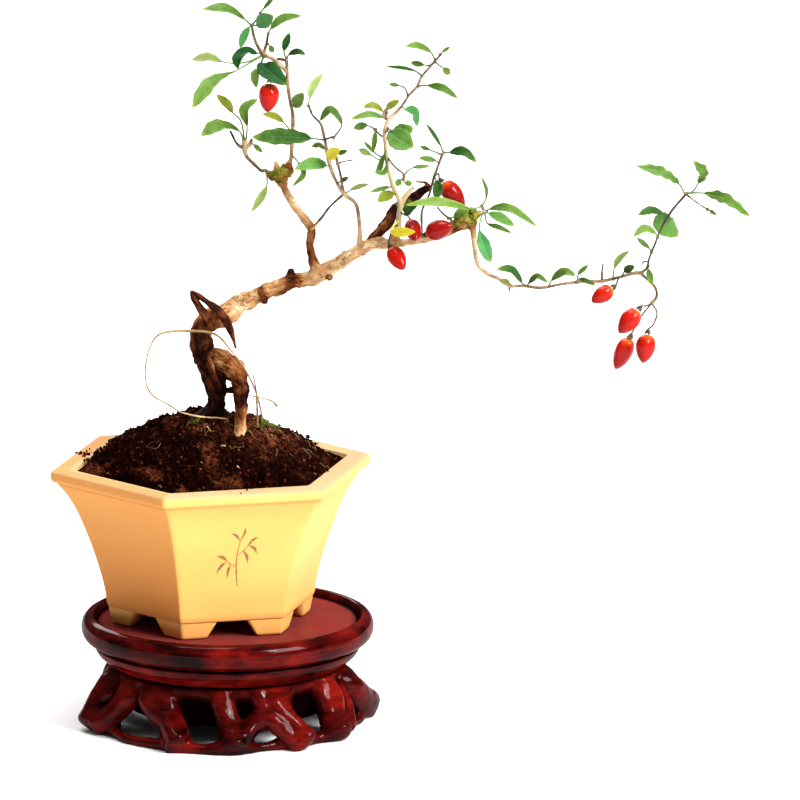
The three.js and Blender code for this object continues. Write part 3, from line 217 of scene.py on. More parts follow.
class Shader:
    """One procedural material, built node by node."""

    def __init__(self, name):
        self.material = bpy.data.materials.new(name)
        self.material.use_nodes = True
        self.tree = self.material.node_tree
        self.tree.nodes.clear()

    def node(self, kind, values=None, output=0, stops=None, **settings):
        """A node of that kind: its settings first, then its sockets, each by name or number."""
        made = self.tree.nodes.new(kind)
        for setting, value in settings.items():
            setattr(made, setting, value)
        if stops:
            ramp = made.color_ramp
            while len(ramp.elements) < len(stops):
                ramp.elements.new(0.5)
            for element, (position, colour) in zip(ramp.elements, stops):
                element.position = position
                element.color = (*colour, 1)
        for socket, value in (values or {}).items():
            target = made.inputs[socket]
            if isinstance(value, Wire):
                self.tree.links.new(value.socket, target)
            elif isinstance(value, tuple) and len(value) == 3 and target.type == "RGBA":
                target.default_value = (*value, 1)
            else:
                target.default_value = value
        return Wire(self, made.outputs[output])

    def places(self, stretch=(1, 1, 1)):
        """Object coordinates in metres, stretched along each axis."""
        coordinates = self.node("ShaderNodeTexCoord", output="Object")
        return self.node("ShaderNodeMapping", {"Vector": coordinates, "Scale": stretch})

    def noise(self, where, scale, detail=3.0, roughness=0.5):
        """Cloudy noise between 0 and 1, with about that many clouds in a metre."""
        values = {"Vector": where, "Scale": scale, "Detail": detail, "Roughness": roughness}
        return self.node("ShaderNodeTexNoise", values)

    def field(self, name, output="Fac"):
        """A value that the mesh stores at each of its points."""
        return self.node("ShaderNodeAttribute", output=output, attribute_name=name)

    def step(self, value, low, high):
        """0 under low, 1 over high and a smooth rise between them."""
        values = {"Value": value, "From Min": low, "From Max": high}
        return self.node("ShaderNodeMapRange", values, interpolation_type="SMOOTHSTEP")

    def mix(self, share, first, second):
        """The first colour turning into the second as share goes from 0 to 1."""
        return self.node("ShaderNodeMix", {0: share, 6: first, 7: second}, output=2, data_type="RGBA")

    def ramp(self, value, *stops):
        """A run of colours, each at its place between 0 and 1."""
        return self.node("ShaderNodeValToRGB", {"Fac": value}, stops=stops)

    def bump(self, height, depth):
        """A normal that leans as the height says, for relief of that depth in metres."""
        return self.node("ShaderNodeBump", {"Height": height, "Distance": depth, "Strength": 1.0})

    def finish(self, **sockets):
        """The surface itself. Socket names are written with underscores for spaces."""
        values = {name.replace("_", " "): value for name, value in sockets.items()}
        surface = self.node("ShaderNodeBsdfPrincipled", values)
        output = self.tree.nodes.new("ShaderNodeOutputMaterial")
        self.tree.links.new(surface.socket, output.inputs["Surface"])
        return self.material


def floor_paper():
    """Plain white paper with the faintest cloud of tone."""
    s = Shader("floor_paper")
    cloud = s.noise(s.places(), 1.5)
    return s.finish(Base_Color=s.mix(cloud, (0.78, 0.78, 0.78), (0.82, 0.82, 0.82)), Roughness=0.7)


def make_floor():
    """A flat square sheet, just under the object's feet."""
    half = FLOOR_SIDE / 2
    corners = [(-half, -half, 0), (half, -half, 0), (half, half, 0), (-half, half, 0)]
    mesh = bpy.data.meshes.new("floor")
    mesh.from_pydata(corners, [], [(0, 1, 2, 3)])
    mesh.materials.append(floor_paper())
    floor = bpy.data.objects.new("floor", mesh)
    bpy.context.scene.collection.objects.link(floor)
    floor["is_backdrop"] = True


make_floor()

# %% [markdown]
# ## Skins
#
# A loft is an array of rings: rows x places around x 3. Neighbouring rings are stitched with
# four-sided faces and each end is closed at the middle of its last ring. The sign of the enclosed
# volume tells whether the skin faces out, and it is turned over if it doesn't.

# %% Lofts and pieces
def stitch(rows, columns, closed_rows):
    """Faces between neighbouring rings of a grid: each joins a point, the next one round, and the
    same two on the following ring. A ring closes on itself; rows do too where closed_rows says."""
    ids = np.arange(rows * columns).reshape(rows, columns)
    here = ids if closed_rows else ids[:-1]
    there = np.roll(ids, -1, axis=0) if closed_rows else ids[1:]
    corners = [here, np.roll(here, -1, axis=1), np.roll(there, -1, axis=1), there]
    return np.stack(corners, axis=-1).reshape(-1, 4)


def fans(rows, columns):
    """Triangles that close the first and last ring at two extra points after the grid's own."""
    around = np.arange(columns)
    after = np.roll(around, -1)
    first = np.full(columns, rows * columns)
    lowest = np.stack([first, after, around], axis=-1)
    last_ring = (rows - 1) * columns
    highest = np.stack([first + 1, around + last_ring, after + last_ring], axis=-1)
    return np.concatenate([lowest, highest])


def volume_of(points, quads, triangles):
    """Six times the volume enclosed by the faces: a sum of triple products over triangles."""
    halves = np.concatenate([quads[:, [0, 1, 2]], quads[:, [0, 2, 3]], triangles])
    a, b, c = (points[halves[:, k]] for k in range(3))
    return float(np.einsum("ij,ij->", a, np.cross(b, c)))


class Skin:
    """Lofts gathered into one mesh, with named values stored at each point."""

    def __init__(self):
        self.points = []
        self.quads = []
        self.triangles = []
        self.fields = {}
        self.count = 0

    def loft(self, rings, closed_rows=False, capped=True, **fields):
        """Adds one loft. Each field is a number or an array that fits rows x places around."""
        rows, columns = rings.shape[:2]
        points = rings.reshape(-1, 3)
        quads = stitch(rows, columns, closed_rows)
        triangles = np.zeros((0, 3), int)
        ends = capped and not closed_rows
        if ends:
            points = np.concatenate([points, rings[[0, -1]].mean(axis=1)])
            triangles = fans(rows, columns)
        if volume_of(points - points.mean(axis=0), quads, triangles) < 0:
            quads = quads[:, ::-1]
            triangles = triangles[:, ::-1]
        for name in self.fields.keys() | fields.keys():
            spread = np.broadcast_to(fields.get(name, 0.0), (rows, columns)).astype(float)
            values = spread.reshape(-1)
            if ends:
                values = np.concatenate([values, spread[[0, -1]].mean(axis=1)])
            before = self.fields.get(name, [np.zeros(self.count)])
            self.fields[name] = [*before, values]
        self.points.append(points)
        self.quads.append(quads + self.count)
        self.triangles.append(triangles + self.count)
        self.count += len(points)

    def mesh(self, name):
        """The gathered skin as a Blender mesh with smooth faces and its fields as attributes."""
        points = np.concatenate(self.points)
        quads = np.concatenate(self.quads)
        triangles = np.concatenate(self.triangles)
        mesh = bpy.data.meshes.new(name)
        mesh.vertices.add(len(points))
        mesh.vertices.foreach_set("co", points.ravel())
        mesh.loops.add(quads.size + triangles.size)
        mesh.loops.foreach_set("vertex_index", np.concatenate([quads.ravel(), triangles.ravel()]))
        mesh.polygons.add(len(quads) + len(triangles))
        starts = [np.arange(len(quads)) * 4, quads.size + np.arange(len(triangles)) * 3]
        mesh.polygons.foreach_set("loop_start", np.concatenate(starts))
        mesh.update(calc_edges=True)
        mesh.shade_smooth()
        for field, values in self.fields.items():
            store_field(mesh, field, np.concatenate(values))
        return mesh


def store_field(mesh, name, values):
    """Stores one number for each point of the mesh, for its material to read."""
    attribute = mesh.attributes.new(name, "FLOAT", "POINT")
    attribute.data.foreach_set("value", np.asarray(values, np.float32))


def welded(mesh):
    """The mesh with the points merged that lie in one place, as where a ring is folded flat."""
    shape = bmesh.new()
    shape.from_mesh(mesh)
    bmesh.ops.remove_doubles(shape, verts=shape.verts, dist=1e-6)
    shape.to_mesh(mesh)
    shape.free()
    return mesh


def make_piece(name, shape, material, replaces=()):
    """A finished piece in the scene, from a skin or a mesh: it rides on the object and stands for
    the solids it names."""
    mesh = shape.mesh(name) if isinstance(shape, Skin) else shape
    mesh.materials.clear()
    mesh.materials.append(material)
    piece = bpy.data.objects.new(name, mesh)
    bpy.context.scene.collection.objects.link(piece)
    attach(piece, BODY)
    if replaces:
        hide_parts(*replaces)
    triangles = sum(len(polygon.vertices) - 2 for polygon in mesh.polygons)
    print(f"{name}: {triangles} triangles")


# %% [markdown]
# Curves pass smoothly through given points. The centripetal form is used because it doesn't overshoot
# where points are close together, which matters on a gnarled trunk. Natural surfaces need unevenness, so a
# repeatable cloud of random values on a lattice gives it.

# %% Curves and unevenness
def curve(points, at):
    """Centripetal Catmull-Rom curve through the points. at runs from 0 to 1, an equal share for
    each span. In a span the four nearest points give the two end slopes of a cubic."""
    points = np.asarray(points, float)
    spans = len(points) - 1
    first = 2 * points[0] - points[1]
    final = 2 * points[-1] - points[-2]
    padded = np.concatenate([[first], points, [final]])
    place_on = np.clip(np.asarray(at, float), 0, 1) * spans
    span = np.minimum(place_on.astype(int), spans - 1)
    t = (place_on - span)[:, None]
    p0, p1, p2, p3 = (padded[span + k] for k in range(4))
    d0, d1, d2 = (
        np.maximum(np.linalg.norm(b - a, axis=1, keepdims=True), 1e-9) ** 0.5
        for a, b in ((p0, p1), (p1, p2), (p2, p3))
    )
    out = ((p1 - p0) / d0 - (p2 - p0) / (d0 + d1) + (p2 - p1) / d1) * d1
    into = ((p2 - p1) / d1 - (p3 - p1) / (d1 + d2) + (p3 - p2) / d2) * d1
    squared = 3 * (p2 - p1) - 2 * out - into
    cubed = 2 * (p1 - p2) + out + into
    return p1 + out * t + squared * t**2 + cubed * t**3


def unit(vectors):
    """Each vector over its own length."""
    return vectors / np.maximum(np.linalg.norm(vectors, axis=-1, keepdims=True), 1e-12)


def headings_at(points, at):
    """The curve's direction: the difference between two places just before and just after."""
    return unit(curve(points, np.asarray(at) + 1e-4) - curve(points, np.asarray(at) - 1e-4))


def carried(headings):
    """For each heading two directions square to it and to each other, carried along from ring to
    ring without twisting: the last one, less its part along the new heading."""
    across = np.array([1.0, 0, 0]) if abs(headings[0][2]) > 0.9 else np.array([0, 0, 1.0])
    acrosses = []
    for heading in headings:
        across = across - heading * across.dot(heading)
        across = across / np.linalg.norm(across)
        acrosses.append(across)
    acrosses = np.array(acrosses)
    return acrosses, np.cross(headings, acrosses)


LATTICE = np.random.default_rng(11).uniform(-1, 1, (32, 32, 32))


def cloud(places):
    """Smooth random values from -1 to 1. Each place lies in a cell of a lattice of fixed random
    numbers, and its value is the blend of the cell's eight corners."""
    places = np.asarray(places, float)
    cell = np.floor(places).astype(int)
    t = places - cell
    t = t * t * (3 - 2 * t)
    total = 0
    for corner in np.ndindex(2, 2, 2):
        share = np.prod(np.where(np.array(corner) == 1, t, 1 - t), axis=-1)
        i, j, k = np.moveaxis((cell + corner) % 32, -1, 0)
        total = total + share * LATTICE[i, j, k]
    return total


def clouds(places, octaves):
    """Several clouds in one, each twice as fine and half as strong as the one before."""
    return sum(cloud(np.asarray(places) * 2**k + 7.3 * k) / 2**k for k in range(octaves))


def smooth_step(value, low, high):
    """0 under low, 1 over high and a smooth rise between them."""
    t = np.clip((np.asarray(value, float) - low) / (high - low), 0, 1)
    return t * t * (3 - 2 * t)


def circle(count):
    """Angles evenly round a full turn."""
    return np.arange(count) * 2 * np.pi / count


def outwards(axis, angle):
    """Directions square to an axis, one for each angle round it."""
    across, beside = (side[0] for side in carried(axis[None]))
    return np.cos(angle)[:, None] * across + np.sin(angle)[:, None] * beside


def ball(rows, places, margin):
    """A ball of radius 1 as level rings, which start and stop short of its poles by that angle."""
    polar = np.linspace(margin, math.pi - margin, rows)[:, None]
    angle = circle(places)[None, :]
    level = np.cos(polar) + 0 * angle
    return np.stack([np.sin(polar) * np.cos(angle), np.sin(polar) * np.sin(angle), level], axis=-1)


# %% [markdown]
# ## The stand
#
# The plate is turned on a lathe: one outline carried round the axis. The real one has a thick
# rounded rim over a sharp groove, and a shallow recess for the pot. Arcs keep the round stretches
# soft while the groove and the rim's inner edge stay crisp.

# %% Lacquered wood
def lacquered_wood():
    """Dark red wood under clear lacquer: long streaks of grain, with painted shade near black in the
    hollows, and a painted sheen, paler and duller, where the mesh marks it.
    """
    s = Shader("lacquered_wood")
    grain = s.noise(s.places((1, 1, 7)), 45, detail=6, roughness=0.6)
    streaks = s.noise(s.places((1, 1, 3)), 160, detail=2)
    cloudy = s.noise(s.places(), 48, detail=4)
    wood = s.ramp(
        grain * 0.4 + streaks * 0.1 + cloudy * 0.55,
        (0.41, (0.006, 0.0003, 0.0003)), (0.54, (0.055, 0.0015, 0.0012)),
        (0.72, (0.18, 0.006, 0.003)),
    )
    # Painted shade: hollows, creases and places behind or under things are made near black, rougher and
    # without coat.
    hollow = s.field("hollow")
    # A duller satin where the pot stands, partly real and partly a painted sheen: its lighter pink is a
    # painted reflection of the pale surroundings.
    dull = s.field("dull")
    faded = s.mix(dull * 0.65, wood, (0.24, 0.04, 0.034))
    colour = s.mix(hollow, faded, (0.0025, 0.0003, 0.0003))
    return s.finish(
        Base_Color=colour,
        Roughness=0.36 + cloudy * 0.16 + hollow * 0.5 + dull * 0.12,
        Specular_IOR_Level=0.0,
        Coat_Weight=(0.25 - hollow * 0.25) * (1 - dull * 0.6),
        Coat_Roughness=0.1,
        Coat_IOR=1.34,
        Normal=s.bump(grain * 0.5 + cloudy * 0.5, 0.0002),
    )


LACQUER = lacquered_wood()

# %% Turned plate
PLATE_BOTTOM = 31
PLATE_FLOOR = 52.5
PLATE_RIM_TOP = 56.2
PLATE_PLACES = 240


def along(points, count):
    """A smooth run through outline points, cut into that many places."""
    return curve(points, np.linspace(0, 1, count))


def turned(outline, places):
    """Rings round the +Z axis, one for each (radius, height) of the outline."""
    angle = circle(places)
    radius = outline[:, :1]
    height = np.repeat(outline[:, 1:], places, axis=1)
    return np.stack([radius * np.cos(angle), radius * np.sin(angle), height], axis=-1)


def plate_outline():
    """From the middle of the underside out to the cove, groove, rim and recess, in mm."""
    return np.concatenate([
        [(radius, PLATE_BOTTOM) for radius in (0.5, 30, 55.6)],
        along([(56, 31.05), (59.5, 32.6), (62.6, 34.8), (65.3, 37.6), (66.2, 39.6)], 16),
        along([(66.35, 39.9), (66.5, 40.6), (66.1, 41.3), (65.6, 41.7)], 6),
        along([(65.7, 42), (68.2, 42.8), (70.6, 44.1), (72.2, 46.2), (72.95, 49), (72.9, 51.2),
               (72, 53.7), (70.3, 55.5), (68.8, 56.1)], 40),
        along([(68.5, PLATE_RIM_TOP), (67.6, 56.15), (66.9, 55.7), (66.3, 54.4)], 8),
        along([(65.8, 53.2), (65.3, 52.6), (64.6, 52.35), (63.6, PLATE_FLOOR)], 7),
        [(radius, PLATE_FLOOR) for radius in (62, 50, 30, 12, 0.5)],
    ])


def make_plate():
    """The turned plate, with painted shade in the groove under the rim, in the corner of its recess and on
    its underside, and a painted sheen on the recess floor, which is also duller.
    """
    outline = plate_outline()
    radius, height = outline.T
    # Painted shade in the groove, in the recess's corner and under the plate.
    groove = np.exp(-((radius - 65.8) / 1.2) ** 2 - ((height - 41.6) / 1.1) ** 2)
    corner = np.exp(-((radius - 65.2) / 1.3) ** 2 - ((height - 52.6) / 1.2) ** 2)
    under = smooth_step(PLATE_BOTTOM + 2 - height, 0, 2)
    skin = Skin()
    rings = turned(outline * MM, PLATE_PLACES) + [*STAND_AXIS, 0]
    # The recess floor is duller, with a painted sheen.
    dull = smooth_step(65 - radius, 0, 2) * smooth_step(height, 51, 52)
    skin.loft(rings, hollow=np.maximum.reduce([groove, corner, under])[:, None], dull=dull[:, None])
    make_piece("turned_plate", skin, LACQUER, ["stand_plate"])


make_plate()

# %% [markdown]
# The carved roots flow into each other, which separate tubes can't do. So each root is a lumpy
# tube, all of them are put together with the wall behind and the low ring between their feet,
# and a voxel remesh melts them into one skin. Smoothing then gives the soft, polished carving.

# %% Melting lofts together
def rings_round(middles, headings, radii, sides):
    """Rings about given middles and square to given headings. There is one radius for each ring,
    or one for each of its places."""
    across, beside = carried(headings)
    angle = circle(sides)
    out = np.cos(angle)[:, None] * across[:, None] + np.sin(angle)[:, None] * beside[:, None]
    return middles[:, None] + out * radii.reshape(len(middles), -1)[..., None]


def tube(points, radii, sides, per_span, lumps=0.0, phase=0.0):
    """Rings along a curve. The radius runs evenly from point to point, and swells and shrinks a
    little by sines of the angle and the way along."""
    spans = len(points) - 1
    at = np.linspace(0, 1, spans * per_span + 1)
    radius = np.interp(at * spans, np.arange(spans + 1), radii)[:, None]
    angle = circle(sides)
    way = (at * spans)[:, None]
    swell = 1 + lumps * (np.sin(3 * angle + 1.9 * way + phase) + np.sin(2 * angle - 1.3 * way))
    return rings_round(curve(points, at), headings_at(points, at), radius * swell, sides)


def rounded_ends(rings, radii):
    """Adds small closing rings, so that a tube ends in a dome rather than a flat cut."""
    domes = []
    for end, next_in, radius in ((rings[0], rings[1], radii[0]), (rings[-1], rings[-2], radii[-1])):
        middle = end.mean(axis=0)
        out = unit(middle - next_in.mean(axis=0)) * radius
        dome = [(end - middle) * math.sqrt(1 - t * t) + middle + out * t for t in (0.4, 0.75, 0.96)]
        domes.append(dome)
    return np.concatenate([domes[0][::-1], rings, domes[1]])


def melted(skin, name, voxel, smoothing):
    """One closed mesh from overlapping lofts: remeshed in small cubes, then smoothed."""
    rough = bpy.data.objects.new(name, skin.mesh(name + "_rough"))
    bpy.context.scene.collection.objects.link(rough)
    remesh = rough.modifiers.new("melt", "REMESH")
    remesh.mode = "VOXEL"
    remesh.voxel_size = voxel
    smooth = rough.modifiers.new("polish", "SMOOTH")
    smooth.factor = 0.5
    smooth.iterations = smoothing
    graph = bpy.context.evaluated_depsgraph_get()
    mesh = bpy.data.meshes.new_from_object(rough.evaluated_get(graph))
    bpy.data.objects.remove(rough)
    mesh.name = name
    return mesh


def points_of(mesh, value="co"):
    """The mesh's points as an array, or another value that it has at each of them."""
    values = np.empty(len(mesh.vertices) * 3)
    mesh.vertices.foreach_get(value, values)
    return values.reshape(-1, 3)


def normals_of(mesh):
    """The outward direction at each point of the mesh."""
    return points_of(mesh, "normal")


def hollowness(mesh, rounds):
    """How deep each point lies in a hollow, in mm: how far the average of its surroundings stands
    out past it. The average is taken over joined points, again and again, to reach further."""
    ends = np.empty(len(mesh.edges) * 2, int)
    mesh.edges.foreach_get("vertices", ends)
    a, b = ends.reshape(-1, 2).T
    points = points_of(mesh)
    count = len(points)
    joined = np.bincount(ends, minlength=count)[:, None]
    average = points
    for _ in range(rounds):
        sums = [
            np.bincount(a, average[b, axis], count) + np.bincount(b, average[a, axis], count)
            for axis in range(3)
        ]
        average = np.stack(sums, axis=-1) / joined
    return np.einsum("ij,ij->i", average - points, normals_of(mesh)) / MM


def move_points(mesh, points):
    """Puts the mesh's points where the array says."""
    mesh.vertices.foreach_set("co", points.ravel())
    mesh.update()
    mesh.shade_smooth()


# %% Carved roots
ROOTS_TOP = 30.7
ROOT_VOXEL = 0.8
# How much thicker the roots are made than their rows say, for what the smoothing takes off.
ROOT_FULLNESS = 1.08
# The low ring's radius in mm, and how far round it a foot swells it, in radians.
RING_RADIUS = 64
FOOT_SPREAD = 0.12
# Each carved root is rows of (degrees round from +X, radius, height, thickness radius), in mm.
CARVED_ROOTS = [
    [(196, 51, 27, 8.5), (194, 58, 21, 8.6), (193, 65, 12, 7.8), (195, 70, 4, 7.4)],
    [(212, 52, 27, 7.5), (211, 59, 19, 6), (206, 64, 10, 5.8), (200, 68, 5, 6)],
    [(231, 51, 27, 8.5), (234, 56, 22, 9), (242, 60, 13, 6.4), (249, 67, 4, 7)],
    [(268, 53, 27, 6.4), (269, 58, 20, 5), (272, 62, 12, 5.2), (273, 67, 4, 7)],
    [(288, 53, 27, 6.4), (289, 59, 20, 5), (281, 62, 12, 4.8), (274, 65, 6, 5.4)],
    [(297, 51, 27, 8.5), (295, 57, 21, 7.6), (299, 62, 13, 6), (304, 68, 4, 7.2)],
    [(287, 58, 21, 4.4), (292, 63, 14, 4.8), (301, 66, 7, 5.6)],
    [(327, 51, 27, 8.5), (329, 57, 21, 8.2), (327, 62, 12, 6.4), (324, 68, 4, 7)],
    [(341, 57, 22, 5.4), (338, 62, 13, 5), (331, 66, 6, 5.6)],
    [(352, 51, 27, 8.5), (353, 59, 21, 8.2), (362, 66, 12, 7.2), (371, 71, 5, 6.6)],
    [(34, 51, 27, 8.5), (37, 58, 21, 7.8), (42, 62, 12, 6), (45, 68, 4, 7)],
    [(60, 53, 27, 6.4), (58, 59, 20, 5.4), (52, 62, 11, 5.2), (46, 66, 5, 6)],
    [(82, 51, 27, 8.5), (80, 57, 21, 8), (76, 62, 12, 6.4), (73, 68, 4, 7)],
    [(109, 52, 27, 7.4), (111, 58, 20, 6.2), (114, 62, 12, 5.8), (116, 68, 4, 7)],
    [(134, 53, 27, 6.4), (130, 59, 20, 5.2), (123, 62, 11, 5), (117, 66, 5, 6)],
    [(158, 51, 27, 8.5), (157, 58, 21, 8), (154, 63, 12, 6.6), (152, 69, 4, 7)],
    [(173, 56, 23, 6), (177, 61, 15, 5.4), (185, 66, 7, 6)],
]
WALL_OUTLINE = [
    (47, ROOTS_TOP), (47, 10), (50.5, 10), (53, 15), (54, 22), (57.5, 27), (57.5, ROOTS_TOP),
]


def root_points(rows):
    """Degrees round, radius and height as points about the stand's axis, in metres."""
    degrees, radius, height = np.array(rows, float).T[:3]
    angle = np.radians(degrees)
    return np.stack([radius * np.cos(angle), radius * np.sin(angle), height], axis=-1) * MM


def foot_ring():
    """The low ring between the feet: a round section that swells near each foot, and is pushed
    in and out on its way, like roots that have grown into each other."""
    angle = circle(180)
    section = circle(12)[:, None]
    feet = np.radians([rows[-1][0] for rows in CARVED_ROOTS])
    apart = np.abs(np.angle(np.exp(1j * (angle[:, None] - feet)))).min(axis=1)
    thick = 2.9 + 2.2 * np.exp(-((apart / FOOT_SPREAD) ** 2)) + 0.3 * np.sin(11 * angle)
    sway = 1 + 0.03 * np.sin(3 * angle + 1) + 0.02 * np.sin(7 * angle)
    radius = (RING_RADIUS + thick * np.cos(section)) * sway
    height = thick * 0.75 + thick * np.sin(section)
    return np.stack([radius * np.cos(angle), radius * np.sin(angle), height], axis=-1) * MM


def cut_level(mesh, low, high):
    """Cuts the mesh off flat under low and over high, and closes both cuts."""
    shape = bmesh.new()
    shape.from_mesh(mesh)
    for height, up in ((low, -1), (high, 1)):
        everything = shape.verts[:] + shape.edges[:] + shape.faces[:]
        cut = bmesh.ops.bisect_plane(
            shape, geom=everything, plane_co=(0, 0, height), plane_no=(0, 0, up), clear_outer=True,
        )
        edges = [item for item in cut["geom_cut"] if isinstance(item, bmesh.types.BMEdge)]
        bmesh.ops.triangle_fill(shape, use_beauty=True, edges=edges)
    shape.to_mesh(mesh)
    shape.free()


def make_roots():
    """All the carved roots in one skin, with painted shade: the deeper a point lies behind the roots or in
    a crease, the darker.
    """
    skin = Skin()
    skin.loft(turned(np.array(WALL_OUTLINE) * MM, 120), closed_rows=True)
    skin.loft(foot_ring(), closed_rows=True)
    for number, rows in enumerate(CARVED_ROOTS):
        radii = last(rows) * ROOT_FULLNESS * MM
        rings = tube(root_points(rows), radii, sides=20, per_span=6, lumps=0.07, phase=number)
        skin.loft(rounded_ends(rings, last(rows)[[0, -1]] * MM * 0.5))
    mesh = melted(skin, "carved_roots", ROOT_VOXEL * MM, smoothing=10)
    points = points_of(mesh)
    relief = clouds(points / (9 * MM), 2) * 0.5 + cloud(points / (3.1 * MM)) * 0.12
    move_points(mesh, points + normals_of(mesh) * relief[:, None] * MM)
    cut_level(mesh, 0.0, ROOTS_TOP * MM)
    points = points_of(mesh)
    radius = np.linalg.norm(points[:, :2], axis=1) / MM
    # Painted shade on the wall behind the roots and in the creases between them.
    behind = 1 - smooth_step(radius + 0.1 * points[:, 2] / MM, 57, 63.5)
    crease = smooth_step(hollowness(mesh, rounds=40), 0.0, 1.0)
    store_field(mesh, "hollow", np.maximum(behind, crease * 0.9))
    move_points(mesh, points + [*STAND_AXIS, 0])
    make_piece("carved_roots", mesh, LACQUER, ["stand_roots"])


make_roots()

# %% [markdown]
# ## The pot
#
# The pot is pressed clay with six flat sides that flare upwards to a flat rim. Its plan is one
# formula: the distance to the middle from three pairs of flat sides, blended with a high power so
# that the corners are slightly rounded. With the power at two the same formula gives a circle,
# which is how the hexagon turns into the round drainage hole in the floor.

# %% Fine clay
POT_HEIGHT = 79.5
POT_BASE_RADIUS = 53
POT_FOOT_HEIGHT = 8.8
POT_FLOOR_TOP = 15.5
POT_TURN = math.radians(14)
POT_SIDES = 6
FOOT_INNER_RADIUS = 43.5
FOOT_GAP_TOP = 15.5
FOOT_GAP_BOTTOM = 26
DRAIN_HOLE_RADIUS = 9


def fine_clay():
    """Pale yellow stoneware, unglazed: a fine grain, faint clouds and rare darker specks, with painted
    shade mixed in where the mesh says.
    """
    s = Shader("fine_clay")
    where = s.places()
    clouds_of_tone = s.noise(where, 28, detail=3)
    grain = s.noise(where, 900, detail=4, roughness=0.7)
    specks = s.step(s.noise(where, 420, detail=1), 0.7, 0.76)
    body = s.ramp(clouds_of_tone, (0.3, (0.80, 0.38, 0.085)), (0.7, (0.85, 0.44, 0.115)))
    rim = s.field("rim")
    toned = s.mix(rim, body, (0.46, 0.285, 0.135))
    worn = s.mix(s.field("shade"), toned, (0.52, 0.16, 0.014))
    spotted = s.mix(specks * 0.12, worn, (0.45, 0.24, 0.09))
    fired = s.mix(grain * 0.12, spotted, (0.95, 0.74, 0.40))
    return s.finish(
        Base_Color=fired,
        Roughness=0.5 + grain * 0.18,
        Specular_IOR_Level=0.12,
        Normal=s.bump(grain * 0.7 + clouds_of_tone * 0.8, 0.00012),
    )


CLAY = fine_clay()

# %% Pot walls
POT_OUTSIDE = [
    (53.0, 8.8), (53.9, 11.5), (54.7, 17), (57.2, 27), (61.2, 39.5), (65.3, 50), (69, 58.4),
    (73.6, 66.2), (78.2, 71.9),
]
POT_LIP = [(79.6, 73.4), (81.7, 74.3), (82.5, 76), (82.35, 77.9), (81.6, 79.1), (80.3, 79.5)]
POT_INSIDE = [
    (70.4, 79.2), (70, 78.3), (62.6, 60), (56, 41.5), (49.8, 22), (47.6, 17), (45.6, 15.5),
]
CORNER_POWER = 90
SIDE_PLACES = 44
# Painted shade on the clay: how dark it is at the foot and how high it reaches in mm, and how dark on the
# two left sides, which face away from the key light.
LOW_TONE = 0.3
LOW_TONE_HEIGHT = 55
LEFT_TONE = 0.72


def six_sided(angle, power):
    """How far the wall is from the middle, for a flat side 1 away: the sum of the powers of the
    cosines to the three pairs of sides, to the power of minus one over it."""
    sides = [np.abs(np.cos(angle - k * np.pi / 3)) for k in range(3)]
    return sum(side**power for side in sides) ** (-1 / power)


def pot_angles():
    """Angles round the pot, closer together towards its corners."""
    even = np.linspace(-1, 1, SIDE_PLACES, endpoint=False)
    bent = np.sign(even) * (1 - (1 - np.abs(even)) ** 1.6)
    return np.concatenate([k * np.pi / 3 + bent * np.pi / 6 for k in range(POT_SIDES)])


def pot_rings(outline, powers, angles):
    """A ring for each (corner radius, height): the flat side's distance is the corner radius
    times the cosine of 30 degrees. Sides face +-Y before the pot is turned on its stand."""
    flat = outline[:, 0] * math.cos(math.pi / 6)
    reach = np.stack([f * six_sided(angles, p) for f, p in zip(flat, powers)])
    x = reach * np.cos(angles - np.pi / 2)
    y = reach * np.sin(angles - np.pi / 2)
    z = np.repeat(outline[:, 1:], len(angles), axis=1)
    return np.stack([x, y, z], axis=-1) * MM


def turning(angle):
    """The matrix that turns rows of points about +Z by that angle."""
    c, s = math.cos(angle), math.sin(angle)
    return np.array([[c, s, 0], [-s, c, 0], [0, 0, 1]])


POT_TURNED = turning(POT_TURN)


def on_stand(points):
    """Points about the pot's own axis, turned and stood where the pot is."""
    return points @ POT_TURNED + [*POT_AXIS, POT_BASE]


def pot_outline():
    """The wall's whole outline, from the drainage hole out, up, over the lip and back down."""
    return np.concatenate([
        along([(radius, POT_FOOT_HEIGHT) for radius in (16, 34, 52.2)], 5),
        along(POT_OUTSIDE, 46),
        along([(78.9, 72.6), (79.1, 73.0), (79.6, 73.35)], 4),
        along(POT_LIP, 20),
        along([(79.6, POT_HEIGHT), (75, POT_HEIGHT), (71.3, POT_HEIGHT), (70.6, 79.4)], 8),
        along(POT_INSIDE, 26),
        along([(radius, POT_FLOOR_TOP) for radius in (44, 30, 16)], 4),
    ])


def foot_rings(corner):
    """One corner foot as level rings, from the ground up into the body. Each ring runs along the
    two outer sides from the corner and back along the inner ones. A foot is widest at the top,
    because the gap between feet is wider at the ground."""
    levels = np.array([0, 0.15, 0.6, 1.3, 3, 5.5, 8, POT_FOOT_HEIGHT + 0.8])
    outer = np.interp(levels, [0, 0.6, 1.5, 10], [49.8, 50.7, 51.1, 52.8])
    gap = np.interp(levels, [0, POT_FOOT_HEIGHT], [FOOT_GAP_BOTTOM, FOOT_GAP_TOP])
    shrink = np.interp(levels, [0, 0.6, 1.3], [1.2, 0.3, 0])
    way = np.linspace(-1, 1, 25)
    side_ways = np.array([math.cos(math.pi / 3), math.sin(math.pi / 3)])
    rings = []
    for level, radius, open_gap, inset in zip(levels, outer, gap, shrink):
        inner = FOOT_INNER_RADIUS + inset
        soft = np.sqrt(way**2 + 0.0004)
        path = np.stack([-soft * side_ways[0], way * side_ways[1]], axis=-1)
        outside = path * ((radius - open_gap) / 2 - inset) + [radius, 0]
        inside = path * ((inner - open_gap) / 2 - inset) + [inner, 0]
        loop = np.concatenate([outside, inside[::-1]])
        rings.append(np.column_stack([loop, np.full(len(loop), level)]))
    sole, top = ((ring + ring[::-1]) / 2 for ring in (rings[0], rings[-1]))
    return np.array([sole, *rings, top]) @ turning(corner) * MM


